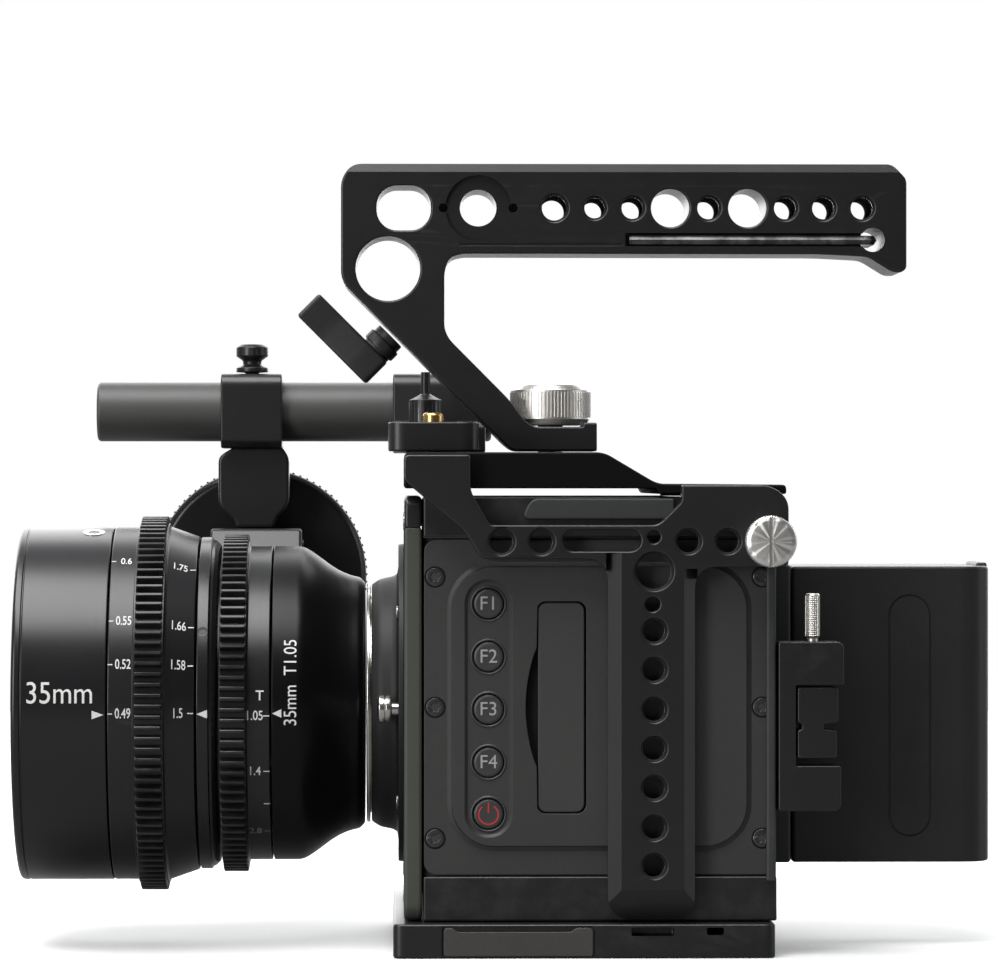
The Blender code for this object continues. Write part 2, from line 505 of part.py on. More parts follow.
drive_r = GEAR_MODULE * (FOCUS_TEETH + DRIVE_TEETH) / 2 + 0.12
drive_y, drive_z = drive_r * math.cos(drive_a), LENS_Z + drive_r * math.sin(drive_a)
gearbox = outline("gearbox_housing", [
    [(44.5, 71.0), (63.0, 71.0), (66.0, 74.0), (66.0, 99.0), (52.0, 99.0), (43.5, 88.0), (43.5, 72.0)]],
    'YZ', -91.0, -68.0, BLACK)
cut_rod(gearbox, (-92, drive_y, drive_z), (-84, drive_y, drive_z), 3.4)
cut_rod(gearbox, (WHEEL_X, 57, WHEEL_Z), (WHEEL_X, 67, WHEEL_Z), 3.4)
gear_step = math.pi / DRIVE_TEETH
drive = outline("drive_gear", [gear_loop(DRIVE_TEETH, drive_a + math.pi + gear_step, drive_y, drive_z)],
                'YZ', -105.5, -99.1, DARK_STEEL, origin=(-102, drive_y, drive_z))
add_rod(drive, (-100, drive_y, drive_z), (-86, drive_y, drive_z), 3.0)
wheel = turned("hand_wheel", [
    (0, 78.5), (7.0, 78.5), (9.0, 76.5), (20.0, 76.5), (23.0, 78.5), (25.6, 78.5), (WHEEL_R, 76.7), (WHEEL_R, 70.6),
    (25.6, 68.8), (6.0, 68.8), (3.0, 68.5), (3.0, 59.0), (0, 59.0)], BLACK, (WHEEL_X, 0, WHEEL_Z), (0, 1, 0),
    closed=False, steps=SEG)

# ---- rear: battery and its plate ----
plate = box("battery_plate", (45.3, 50.2), (-20, 20), (20, 91.2), BLACK)
cut_box(plate, (46.2, 49.3), (15.0, 21), (73.7, 84.3))
for y in (-12.0, 12.0):
    add_box(plate, (49.5, 52.0), (y - 1.5, y + 1.5), (30, 78))
battery = box("battery", (BATTERY_X0, BATTERY_X1), (-BATTERY_HALF, BATTERY_HALF), (BATTERY_Z0, BATTERY_Z1),
              PLASTIC, origin=(74.5, 0, 55.4))
soften(battery, 1.6, 2, angle=60)
for y in (-12.0, 12.0):
    cut_box(battery, (50, 52.5), (y - 1.9, y + 1.9), (19, 78.5))
box("battery_button", (46.5, 49.0), (16.6, 21.6), (74.0, 84.0), RUBBER, origin=(47.75, 16.6, 79.0))

# ---- rear: cable clamp ----
yc = (CLAMP_Y - 5.0, CLAMP_Y + 5.0)
clamp = outline("cable_clamp_body", [
    [(45.3, 73.6), (59.7, 73.6), (60.7, 72.6), (60.7, 63.5), (49.4, 63.5), (49.4, 44.6), (60.0, 44.6), (60.0, 35.0),
     (59.0, 34.0), (45.3, 34.0)]], 'XZ', yc[0], yc[1], BLACK)
cut_rod(clamp, (53.7, CLAMP_Y, 62), (53.7, CLAMP_Y, 75), 1.6, seg=12)
outline("cable_clamp_jaw", [
    [(49.8, 63.0), (59.4, 63.0), (59.4, 54.8), (56.0, 54.2), (56.0, 53.2), (59.0, 52.8), (59.0, 46.3), (49.8, 46.3),
     (49.8, 52.8), (50.8, 53.2), (50.8, 54.2), (49.8, 54.8)]], 'XZ', yc[0] + 0.5, yc[1] - 0.5, BLACK,
    origin=(53.7, CLAMP_Y, 54.6))
tscrew = turned("clamp_thumbscrew", [
    (0, 85.3), (1.3, 85.3), (1.7, 84.8), (1.7, 74.3), (1.3, 73.9), (1.25, 63.4), (0, 63.4)], STEEL,
    (53.7, CLAMP_Y, 0), (0, 0, 1), closed=False, steps=16)
cut_box(tscrew, (53.35, 54.05), (CLAMP_Y - 3, CLAMP_Y + 3), (83.2, 86))

# ---- cage lock screw ----
lock = turned("cage_lock_screw", [
    (0, 57.0), (5.4, 57.0), (6.3, 56.2), (6.3, 52.6), (5.6, 51.9), (2.0, 51.8), (2.0, 48.2), (0, 48.2)], STEEL,
    (43.0, 0, 97.2), (0, -1, 0), closed=False, steps=32)
cut_box(lock, (42.5, 43.5), (-58, -56.4), (92.5, 101.9))

for obj in parts.objects:
    obj.data.name = obj.name
    if any(mod.type == 'BOOLEAN' for mod in obj.modifiers):
        tidy(obj)
print("objects", len(parts.objects))
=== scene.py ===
import json
import math

import bmesh
import bpy
from mathutils import Matrix, Vector

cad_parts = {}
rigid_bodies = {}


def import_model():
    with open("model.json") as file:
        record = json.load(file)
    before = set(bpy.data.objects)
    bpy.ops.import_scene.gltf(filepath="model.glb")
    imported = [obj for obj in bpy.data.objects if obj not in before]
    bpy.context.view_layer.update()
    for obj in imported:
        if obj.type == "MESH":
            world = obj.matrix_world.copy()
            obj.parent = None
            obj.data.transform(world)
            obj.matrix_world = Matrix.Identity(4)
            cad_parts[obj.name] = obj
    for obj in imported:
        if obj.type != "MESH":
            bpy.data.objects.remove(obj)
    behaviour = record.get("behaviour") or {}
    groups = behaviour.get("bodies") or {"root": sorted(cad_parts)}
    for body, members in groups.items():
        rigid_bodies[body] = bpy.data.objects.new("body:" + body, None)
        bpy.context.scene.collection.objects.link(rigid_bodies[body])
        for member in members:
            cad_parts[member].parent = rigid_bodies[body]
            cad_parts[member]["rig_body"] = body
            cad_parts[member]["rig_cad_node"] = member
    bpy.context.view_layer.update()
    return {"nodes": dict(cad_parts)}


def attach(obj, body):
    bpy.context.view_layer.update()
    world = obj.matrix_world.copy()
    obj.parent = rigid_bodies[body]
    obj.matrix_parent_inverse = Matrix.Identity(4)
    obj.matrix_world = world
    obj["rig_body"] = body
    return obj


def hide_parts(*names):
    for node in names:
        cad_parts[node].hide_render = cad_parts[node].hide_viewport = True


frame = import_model()
mm = 0.001                      # every size below is in millimetres
axisHeight = 57.5               # height of the lens axis
print("frame loaded")

# shared shader groups


def newGroup(name, inputs, outputs):
    group = bpy.data.node_groups.new(name, "ShaderNodeTree")
    for label, kind, value in inputs:
        socket = group.interface.new_socket(name=label, in_out="INPUT", socket_type="NodeSocket" + kind)
        if value is not None:
            socket.default_value = value
    for label, kind in outputs:
        group.interface.new_socket(name=label, in_out="OUTPUT", socket_type="NodeSocket" + kind)
    return group, group.nodes.new("NodeGroupInput"), group.nodes.new("NodeGroupOutput")


def setInputs(node, values):
    for label, value in values.items():
        node.inputs[label].default_value = value


def mathNode(tree, operation, a, b):
    node = tree.nodes.new("ShaderNodeMath")
    node.operation = operation
    for socket, value in zip(node.inputs, (a, b)):
        if isinstance(value, (int, float)):
            socket.default_value = value
        else:
            tree.links.new(value, socket)
    return node.outputs[0]


def noiseNode(tree, vector, scale, detail=3.0, rough=0.55):
    node = tree.nodes.new("ShaderNodeTexNoise")
    setInputs(node, {"Detail": detail, "Roughness": rough})
    tree.links.new(vector, node.inputs["Vector"])
    if isinstance(scale, (int, float)):
        node.inputs["Scale"].default_value = scale
    else:
        tree.links.new(scale, node.inputs["Scale"])
    return node.outputs["Fac"]


def rangeNode(tree, value, low, high, outLow, outHigh):
    node = tree.nodes.new("ShaderNodeMapRange")
    tree.links.new(value, node.inputs["Value"])
    for label, number in zip(("From Min", "From Max", "To Min", "To Max"), (low, high, outLow, outHigh)):
        if isinstance(number, (int, float)):
            node.inputs[label].default_value = number
        else:
            tree.links.new(number, node.inputs[label])
    return node.outputs["Result"]


def mixColour(tree, factor, a, b, blend="MIX"):
    node = tree.nodes.new("ShaderNodeMix")
    node.data_type = "RGBA"
    node.blend_type = blend
    for socket, value in ((node.inputs["Factor"], factor), (node.inputs["A"], a), (node.inputs["B"], b)):
        target = [s for s in node.inputs if s.name == socket.name and s.enabled][0]
        if isinstance(value, (int, float)):
            target.default_value = value
        elif isinstance(value, tuple):
            target.default_value = (*value, 1.0)
        else:
            tree.links.new(value, target)
    return [s for s in node.outputs if s.enabled][0]


def grainGroup():                # fine sandblasted grain, cloudy sheen and faint dust
    tree, start, end = newGroup("blastedGrain", (
        ("Vector", "Vector", None), ("Colour", "Color", (0.02, 0.02, 0.02, 1)),
        ("Grain Scale", "Float", 2600.0),
        ("Cloud", "Float", 0.25), ("Roughness", "Float", 0.4), ("Spread", "Float", 0.08),
        ("Dust", "Float", 0.02)),
        (("Colour", "Color"), ("Roughness", "Float"), ("Height", "Float")))
    place = start.outputs["Vector"]
    fine = noiseNode(tree, place, start.outputs["Grain Scale"], 2.0, 0.6)
    cloud = noiseNode(tree, place, 38.0, 4.0, 0.6)
    speck = noiseNode(tree, place, 900.0, 2.0, 0.5)
    tone = mathNode(tree, "MULTIPLY", mathNode(tree, "SUBTRACT", cloud, 0.5), start.outputs["Cloud"])
    tone = mathNode(tree, "ADD", tone, mathNode(tree, "MULTIPLY", mathNode(tree, "SUBTRACT", fine, 0.5), 0.35))
    tone = mathNode(tree, "ADD", tone, 1.0)
    shade = tree.nodes.new("ShaderNodeCombineColor")
    for socket in shade.inputs:
        tree.links.new(tone, socket)
    colour = mixColour(tree, 1.0, start.outputs["Colour"], shade.outputs[0], "MULTIPLY")
    dust = mathNode(tree, "MULTIPLY", rangeNode(tree, speck, 0.70, 0.78, 0.0, 1.0), start.outputs["Dust"])
    colour = mixColour(tree, dust, colour, (0.45, 0.44, 0.42))
    rough = mathNode(tree, "MULTIPLY", mathNode(tree, "SUBTRACT", cloud, 0.5), start.outputs["Spread"])
    rough = mathNode(tree, "ADD", rough, mathNode(tree, "MULTIPLY", mathNode(tree, "SUBTRACT", fine, 0.5),
        0.12))
    rough = mathNode(tree, "ADD", rough, start.outputs["Roughness"])
    tree.links.new(colour, end.inputs["Colour"])
    tree.links.new(rough, end.inputs["Roughness"])
    tree.links.new(fine, end.inputs["Height"])
    return tree


def wearGroup():                 # edges a little paler in patches: rubbed wear where fingers and bags touch, and a painted highlight along the bevels
    tree, start, end = newGroup("rubbedEdgesAndHighlights", (
        ("Vector", "Vector", None), ("Colour", "Color", (0.02, 0.02, 0.02, 1)),
        ("Edge Colour", "Color", (0.2, 0.2, 0.2, 1)), ("Amount", "Float", 0.4)),
        (("Colour", "Color"), ("Mask", "Float")))
    geometry = tree.nodes.new("ShaderNodeNewGeometry")
    # painted highlight and wear: convex edges lightened by pointiness, broken into patches
    edge = rangeNode(tree, geometry.outputs["Pointiness"], 0.53, 0.62, 0.0, 1.0)
    patch = rangeNode(tree, noiseNode(tree, start.outputs["Vector"], 160.0, 4.0, 0.65), 0.42, 0.66, 0.0, 1.0)
    mask = mathNode(tree, "MULTIPLY", mathNode(tree, "MULTIPLY", edge, patch), start.outputs["Amount"])
    tree.links.new(mixColour(tree, mask, start.outputs["Colour"], start.outputs["Edge Colour"]),
        end.inputs["Colour"])
    tree.links.new(mask, end.inputs["Mask"])
    return tree


def lineGroup():                 # fine tool lines; the piece's Mapping turns them round its axis
    tree, start, end = newGroup("toolLines", (
        ("Vector", "Vector", None), ("Lines", "Float", 900.0), ("Break Up", "Float", 0.6)),
        (("Height", "Float"),))
    wave = tree.nodes.new("ShaderNodeTexWave")
    wave.wave_type = "BANDS"
    wave.bands_direction = "X"
    wave.inputs["Distortion"].default_value = 0.0
    tree.links.new(start.outputs["Vector"], wave.inputs["Vector"])
    tree.links.new(start.outputs["Lines"], wave.inputs["Scale"])
    stretch = tree.nodes.new("ShaderNodeVectorMath")
    stretch.operation = "MULTIPLY"
    stretch.inputs[1].default_value = (1.0, 0.02, 0.02)
    tree.links.new(start.outputs["Vector"], stretch.inputs[0])
    rough = noiseNode(tree, stretch.outputs[0], 2200.0, 3.0, 0.7)
    height = mathNode(tree, "ADD", mathNode(tree, "MULTIPLY", wave.outputs["Fac"], 0.5),
                      mathNode(tree, "MULTIPLY", rough, start.outputs["Break Up"]))
    tree.links.new(height, end.inputs["Height"])
    return tree


blastedGrain, rubbedEdgesAndHighlights, toolLines = grainGroup(), wearGroup(), lineGroup()
print("shader groups ready")


def groupNode(tree, group, place, values):
    node = tree.nodes.new("ShaderNodeGroup")
    node.node_tree = group
    tree.links.new(place, node.inputs["Vector"])
    setInputs(node, values)
    return node


# what a look has when it doesn't say otherwise
plainLook = dict(metallic=0.0, specular=0.5, coat=0.0, coatRoughness=0.1, turn=(0, 0, 0), grainScale=2600.0,
    cloud=0.25, spread=0.08, dust=0.02, edge=(0.16, 0.16, 0.165), wear=0.35, bump=0.25, depth=0.00003, lines=0)


def buildMaterial(name, changes):
    look = {**plainLook, **changes}
    material = bpy.data.materials.new(name)
    material.use_nodes = True
    tree = material.node_tree
    link = tree.links.new
    shader = tree.nodes["Principled BSDF"]
    setInputs(shader, {"Metallic": look["metallic"], "Specular IOR Level": look["specular"],
        "Coat Weight": look["coat"], "Coat Roughness": look["coatRoughness"]})
    turn = tree.nodes.new("ShaderNodeMapping")
    turn.inputs["Rotation"].default_value = [math.radians(a) for a in look["turn"]]
    link(tree.nodes.new("ShaderNodeTexCoord").outputs["Object"], turn.inputs["Vector"])
    place = turn.outputs["Vector"]
    grain = groupNode(tree, blastedGrain, place, {"Colour": (*look["colour"], 1),
        "Grain Scale": look["grainScale"],
        "Cloud": look["cloud"], "Roughness": look["roughness"], "Spread": look["spread"], "Dust": look["dust"]})
    # edge lightening: partly rubbed wear, partly painted highlight
    wear = groupNode(tree, rubbedEdgesAndHighlights, place, {"Edge Colour": (*look["edge"], 1), "Amount": look["wear"]})
    link(grain.outputs["Colour"], wear.inputs["Colour"])
    link(wear.outputs["Colour"], shader.inputs["Base Color"])
    link(grain.outputs["Roughness"], shader.inputs["Roughness"])
    height = grain.outputs["Height"]
    if look["lines"]:
        lines = groupNode(tree, toolLines, place, {"Lines": look["lines"]})
        height = mathNode(tree, "ADD", mathNode(tree, "MULTIPLY", lines.outputs["Height"], 0.6),
            mathNode(tree, "MULTIPLY", height, 0.5))
    bump = tree.nodes.new("ShaderNodeBump")
    setInputs(bump, {"Strength": look["bump"], "Distance": look["depth"]})
    link(height, bump.inputs["Height"])
    link(bump.outputs["Normal"], shader.inputs["Normal"])
    material.diffuse_color = (*look["colour"], 1)
    return material


def lookOf(colour, roughness, **more):
    return dict(colour=colour, roughness=roughness, **more)


panelTexture = dict(bump=0.42, grainScale=1700.0, depth=0.00005, wear=0.08, edge=(0.12, 0.12, 0.12))
looks = {
    "cageBlack": lookOf((0.009, 0.009, 0.010), 0.37, dust=0.006, cloud=0.15, wear=0.08, specular=0.55),
    "handleBlack": lookOf((0.009, 0.009, 0.010), 0.36, wear=0.12, specular=0.55),
    "lensBlack": lookOf((0.007, 0.007, 0.008), 0.30, bump=0.16, lines=700.0, wear=0.1, dust=0.01),
    "ringBlack": lookOf((0.008, 0.008, 0.009), 0.33, bump=0.18, lines=900.0, wear=0.15),
    "toothBlack": lookOf((0.008, 0.008, 0.009), 0.34, bump=0.2, wear=0.15, edge=(0.12, 0.12, 0.12)),
    "bodyPaint": lookOf((0.030, 0.031, 0.032), 0.52, bump=0.35, grainScale=1900.0, wear=0.05),
    "panelGrain": lookOf((0.034, 0.034, 0.033), 0.50, **panelTexture),
    "framePaint": lookOf((0.052, 0.056, 0.046), 0.55, bump=0.3, grainScale=1900.0, wear=0.05),
    "batteryPlastic": lookOf((0.012, 0.0115, 0.011), 0.46, bump=0.4, grainScale=1500.0,
                           depth=0.00005, wear=0.05, cloud=0.4),
    "buttonPlastic": lookOf((0.040, 0.040, 0.041), 0.42, bump=0.15, wear=0.1),
    # painted shade: near-black finish for recesses and gaps that look black only because no light reaches them
    "paintedShade": lookOf((0.004, 0.004, 0.004), 0.7, bump=0.2, wear=0.0, specular=0.2),
    # the rod's own dark grey, made paler so the whole rod carries a painted highlight
    "rodGreyAndHighlight": lookOf((0.060, 0.060, 0.058), 0.46, bump=0.2, lines=500.0, wear=0.08),
    "brightSteel": lookOf((0.62, 0.60, 0.57), 0.24, metallic=1.0, bump=0.2, lines=1300.0,
                        turn=(0, 90, 0), wear=0.3, edge=(0.8, 0.78, 0.75), cloud=0.35),
    "brushedSteel": lookOf((0.80, 0.78, 0.75), 0.40, metallic=1.0, bump=0.2, lines=1300.0, wear=0.2,
                         edge=(0.9, 0.88, 0.85), cloud=0.2, spread=0.15),
    "flangeSteel": lookOf((0.55, 0.52, 0.48), 0.22, metallic=1.0, bump=0.15, lines=1300.0, wear=0.2,
                        edge=(0.8, 0.78, 0.75)),
    "screwSteel": lookOf((0.22, 0.22, 0.22), 0.32, metallic=1.0, bump=0.2, wear=0.5,
                       edge=(0.5, 0.5, 0.5)),
    "blackSteel": lookOf((0.030, 0.030, 0.031), 0.34, metallic=0.6, wear=0.5,
                       edge=(0.25, 0.25, 0.25)),
    "keySteel": lookOf((0.055, 0.055, 0.055), 0.38, metallic=0.7, lines=300.0, wear=0.5,
                     edge=(0.35, 0.35, 0.35)),
    "leverBlack": lookOf((0.022, 0.022, 0.022), 0.42, bump=0.3, wear=0.15),
    "brassPin": lookOf((0.72, 0.47, 0.17), 0.27, metallic=1.0, bump=0.2, lines=900.0, turn=(0, 90, 0),
                     edge=(0.9, 0.7, 0.4)),
    "glassCoated": lookOf((0.010, 0.012, 0.022), 0.03, bump=0.0, wear=0.0, spread=0.01, dust=0.0,
                        coat=1.0, coatRoughness=0.02, specular=0.8),
    "mountBlack": lookOf((0.006, 0.006, 0.007), 0.5, bump=0.2, wear=0.05, specular=0.3),
    # painted shade: a darker copy of the cage black for the top plate, which sits in shade
    "cageBlackShaded": lookOf((0.0015, 0.0015, 0.002), 0.5, wear=0.03, dust=0.0, specular=0.15),
    # painted shade: a darker copy of the lens black for the rear barrel's taper, which faces away from the
    # lamps
    "lensBlackShaded": lookOf((0.002, 0.002, 0.0025), 0.36, bump=0.16, lines=700.0, wear=0.04, dust=0.0,
                      specular=0.2),
    "doorGrain": lookOf((0.042, 0.042, 0.041), 0.50, **panelTexture),
    "capSteel": lookOf((0.085, 0.085, 0.085), 0.36, metallic=0.9, bump=0.2, wear=0.6,
                     edge=(0.35, 0.35, 0.35)),
    "threadEdge": lookOf((0.09, 0.09, 0.09), 0.24, metallic=0.75, bump=0.1, wear=0.4, edge=(0.3, 0.3, 0.3)),
    "labelFill": lookOf((0.36, 0.36, 0.36), 0.5, bump=0.1, wear=0.0, dust=0.0, cloud=0.1),
    "baseGrey": lookOf((0.056, 0.052, 0.050), 0.45, bump=0.35, grainScale=1700.0, wear=0.12),
    "whiteFill": lookOf((0.72, 0.72, 0.70), 0.5, bump=0.1, wear=0.0, dust=0.0, cloud=0.12),
    "greyFill": lookOf((0.20, 0.20, 0.20), 0.5, bump=0.1, wear=0.0, dust=0.0),
    "redFill": lookOf((0.55, 0.03, 0.03), 0.45, bump=0.1, wear=0.0, dust=0.0),
    "boardGreen": lookOf((0.012, 0.075, 0.030), 0.4, bump=0.3, grainScale=700.0, wear=0.1),
    "finAlloy": lookOf((0.50, 0.51, 0.52), 0.35, metallic=1.0, lines=500.0, wear=0.2,
                     edge=(0.7, 0.7, 0.7)),
}
finishes = {name: buildMaterial(name, changes) for name, changes in looks.items()}
print("materials ready", len(finishes))

# shared modelling steps


def finishPiece(bm, name, finish, nodes=(), body="camera_cage", sharp=35, recalc=True):
    bmesh.ops.scale(bm, vec=(mm, mm, mm), verts=bm.verts)
    if recalc:
        bmesh.ops.remove_doubles(bm, verts=bm.verts, dist=0.000002)
        bmesh.ops.recalc_face_normals(bm, faces=bm.faces)
    mesh = bpy.data.meshes.new(name)
    bm.to_mesh(mesh)
    bm.free()
    mesh.polygons.foreach_set("use_smooth", [True] * len(mesh.polygons))
    mesh.set_sharp_from_angle(angle=math.radians(sharp))
    mesh.materials.append(finishes[finish])
    piece = bpy.data.objects.new(name, mesh)
    bpy.context.scene.collection.objects.link(piece)
    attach(piece, frame["nodes"][nodes[0]]["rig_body"] if nodes else body)
    if nodes:
        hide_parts(*nodes)
    return piece


def roundCorners(points, radius, closed=True):
    # a point may carry its own radius as a third number
    rounded = []
    count = len(points)
    for i, point in enumerate(points):
        here = Vector(point[:2])
        want = point[2] if len(point) > 2 else radius
        if want <= 0 or (not closed and i in (0, count - 1)):
            rounded.append(tuple(here))
            continue
        before, after = Vector(points[i - 1][:2]) - here, Vector(points[(i + 1) % count][:2]) - here
        reach = min(want, before.length * 0.48, after.length * 0.48)
        a, b = here + before.normalized() * reach, here + after.normalized() * reach
        steps = 6 if reach > 1.5 else 4 if reach > 0.5 else 3
        for k in range(steps + 1):
            t = k / steps
            rounded.append(tuple(a * (1 - t) ** 2 + here * 2 * t * (1 - t) + b * t ** 2))
    return rounded


def spinShape(profile, centre, axis, radius=0.25, steps=128):
    # profile holds (distance along the axis, radius); axis is X, Y or Z through the centre
    closed = profile[0][1] > 0 or profile[-1][1] > 0     # one that starts and ends on the axis is left open
    bm = bmesh.new()
    points = roundCorners(profile, radius, closed)
    place = {"X": lambda a, r: (a, centre[1], centre[2] + r), "Y": lambda a, r: (centre[0] + r, a, centre[2]),
             "Z": lambda a, r: (centre[0] + r, centre[1], a)}[axis]
    verts = [bm.verts.new(place(a, r)) for a, r in points]
    for first, second in zip(verts, verts[1:]):
        bm.edges.new((first, second))
    if closed:
        bm.edges.new((verts[-1], verts[0]))
    along = {"X": (1, 0, 0), "Y": (0, 1, 0), "Z": (0, 0, 1)}[axis]
    bmesh.ops.spin(bm, geom=bm.verts[:] + bm.edges[:], cent=centre, axis=along, dvec=(0, 0, 0),
                   angle=math.tau, steps=steps, use_merge=True, use_duplicate=False)
    bmesh.ops.remove_doubles(bm, verts=bm.verts, dist=0.001)
    return bm


def ringLoop(x, z, r, count=40):
    return [(x + r * math.cos(math.tau * i / count),
        z + r * math.sin(math.tau * i / count)) for i in range(count)]


def slotLoop(x0, x1, z0, z1, r, steps=8):
    loop = []
    for cx, cz, start in ((x1 - r, z1 - r, 0), (x0 + r, z1 - r, 90), (x0 + r, z0 + r, 180),
        (x1 - r, z0 + r, 270)):
        for i in range(steps + 1):
            a = math.radians(start + 90 * i / steps)
            loop.append((cx + r * math.cos(a), cz + r * math.sin(a)))
    return loop


def flatShape(loops, plane, low, high, rim=0.4, steps=2):
    # a filled flat curve with a rounded rim on the outline and in every hole, made a mesh
    curve = bpy.data.curves.new("flat", "CURVE")
    curve.dimensions = "2D"
    curve.fill_mode = "BOTH"
    curve.extrude = (high - low) / 2 - rim
    curve.bevel_depth = rim
    curve.offset = -rim
    curve.bevel_resolution = steps
    for loop in loops:
        spline = curve.splines.new("POLY")
        spline.points.add(len(loop) - 1)
        for point, (u, v) in zip(spline.points, loop):
            point.co = (u, v, 0, 1)
        spline.use_cyclic_u = True
    mid = (low + high) / 2
    turn = {"XZ": Matrix(((1, 0, 0, 0), (0, 0, -1, mid), (0, 1, 0, 0), (0, 0, 0, 1))),
            "YZ": Matrix(((0, 0, 1, mid), (1, 0, 0, 0), (0, 1, 0, 0), (0, 0, 0, 1))),
            "XY": Matrix.Translation((0, 0, mid))}[plane]
    return meshOfCurve(curve, turn)


def meshOfCurve(curve, turn):
    holder = bpy.data.objects.new("holder", curve)
    bpy.context.scene.collection.objects.link(holder)
    bpy.context.view_layer.update()
    mesh = bpy.data.meshes.new_from_object(holder.evaluated_get(bpy.context.evaluated_depsgraph_get()))
    bpy.data.objects.remove(holder, do_unlink=True)
    bm = bmesh.new()
    bm.from_mesh(mesh)
    bpy.data.meshes.remove(mesh)
    bmesh.ops.remove_doubles(bm, verts=bm.verts, dist=0.0005)
    bmesh.ops.transform(bm, matrix=turn, verts=bm.verts)
    return bm


def blockShape(x, y, z, rim=0.5, steps=3):
    bm = bmesh.new()
    size = Matrix.Diagonal((x[1] - x[0], y[1] - y[0], z[1] - z[0], 1))
    centre = Matrix.Translation((sum(x) / 2, sum(y) / 2, sum(z) / 2))
    bmesh.ops.create_cube(bm, size=1, matrix=centre @ size)
    bmesh.ops.bevel(bm, geom=bm.edges[:], offset=rim, segments=steps, profile=0.5, affect="EDGES", material=-1)
    return bm


def barShape(start, end, r, rim=0.2, segments=40):
    a, b = Vector(start), Vector(end)
    turn = Vector((0, 0, 1)).rotation_difference((b - a).normalized()).to_matrix().to_4x4()
    bm = bmesh.new()
    bmesh.ops.create_cone(bm, cap_ends=True, segments=segments, radius1=r, radius2=r, depth=(b - a).length,
                          matrix=Matrix.Translation((a + b) / 2) @ turn)
    if rim:
        ends = [e for e in bm.edges if len(e.link_faces) == 2 and any(len(f.verts) > 4 for f in e.link_faces)]
        bmesh.ops.bevel(bm, geom=ends, offset=rim, segments=2, profile=0.5, affect="EDGES", material=-1)
    return bm


def joinShapes(target, *others):
    for other in others:
        mesh = bpy.data.meshes.new("joined")
        other.to_mesh(mesh)
        other.free()
        target.from_mesh(mesh)
        bpy.data.meshes.remove(mesh)
    return target


def carve(piece, *tools):
    # each tool is a bmesh in millimetres, taken out of the finished piece
    for bm in tools:
        bmesh.ops.scale(bm, vec=(mm, mm, mm), verts=bm.verts)
        bmesh.ops.recalc_face_normals(bm, faces=bm.faces)
        mesh = bpy.data.meshes.new("tool")
        bm.to_mesh(mesh)
        bm.free()
        tool = bpy.data.objects.new("tool", mesh)
        bpy.context.scene.collection.objects.link(tool)
        cut = piece.modifiers.new("cut", "BOOLEAN")
        cut.operation = "DIFFERENCE"
        cut.solver = "EXACT"
        cut.object = tool
        bpy.context.view_layer.update()
        result = bpy.data.meshes.new_from_object(piece.evaluated_get(bpy.context.evaluated_depsgraph_get()))
        piece.modifiers.remove(cut)
        bpy.data.objects.remove(tool, do_unlink=True)
        result.polygons.foreach_set("use_smooth", [True] * len(result.polygons))
        result.set_sharp_from_angle(angle=math.radians(30))
        piece.data = result
    return piece


def slopedWall(outside, inside, front, back):
    # joins two loops of equal count with a sloped wall
    bm = bmesh.new()
    rings = [[bm.verts.new((x, y, z)) for x, z in loop] for loop, y in ((outside, front), (inside, back))]
    edges = [bm.edges.new((ring[i - 1], ring[i])) for ring in rings for i in range(len(ring))]
    bmesh.ops.bridge_loops(bm, edges=edges)
    return bm


def copyRound(one, count, spin):
    # copies one bmesh count times into a ring; spin(i) places each copy
    mesh = bpy.data.meshes.new("one")
    one.to_mesh(mesh)
    one.free()
    ring = bmesh.new()
    for i in range(count):
        before = len(ring.verts)
        ring.from_mesh(mesh)
        ring.verts.ensure_lookup_table()
        bmesh.ops.transform(ring, matrix=spin(i), verts=ring.verts[before:])
    bpy.data.meshes.remove(mesh)
    return ring


def threadLiner(x, z, r, y0, y1, pitch=0.55, depth=0.28):
    # the turned wall of a tapped hole, open at both ends, with a lead-in at each face
    profile = [(y0, r + 0.3), (y0 + 0.8, r - 0.3)]
    y = y0 + 0.9
    while y < y1 - 0.9:
        profile += [(y + pitch / 2, r - depth), (y + pitch, r)]
        y += pitch
    profile += [(y1 - 0.8, r - 0.3), (y1, r + 0.3), (y1, r + 0.4), (y0, r + 0.4)]
    return spinShape(profile, (x, 0, z), "Y", radius=0, steps=36)


def letterShape(name, words, size, weight, turn):
    curve = bpy.data.curves.new(name, "FONT")
    curve.body, curve.size, curve.offset = words, size, weight
    curve.align_x = curve.align_y = "CENTER"
    return meshOfCurve(curve, turn)


def wrapText(words, size, x, angle, radius, finish, name, body, upright=True, width=1.0, weight=0.0, slope=0.0):
    # lettering laid on a barrel round the lens axis; angle is measured up from the operator's side
    bm = letterShape(name, words, size, weight, Matrix.Identity(4))
    bmesh.ops.subdivide_edges(bm, edges=[e for e in bm.edges if e.calc_length() > 0.8], cuts=2)
    for vert in bm.verts:
        u, v = vert.co.x * width, vert.co.y
        along, round_ = (u, v) if upright else (-v, u)
        turn, r = math.radians(angle) + round_ / radius, radius + slope * along
        vert.co = (x + along, -r * math.cos(turn), axisHeight + r * math.sin(turn))
    return finishPiece(bm, name, finish, body=body, recalc=False)


def wrapMark(loop, angle, radius, finish, name, body):
    # a flat outline of (distance along, distance round) laid on a barrel
    bm = bmesh.new()
    bm.faces.new([bm.verts.new((u, v, 0)) for u, v in loop])
    for vert in bm.verts:
        turn = math.radians(angle) + vert.co.y / radius
        vert.co = (vert.co.x, -radius * math.cos(turn), axisHeight + radius * math.sin(turn))
    return finishPiece(bm, name, finish, body=body, recalc=False)


def tick(x0, x1, half=0.13):
    return [(x0, -half), (x1, -half), (x1, half), (x0, half)]


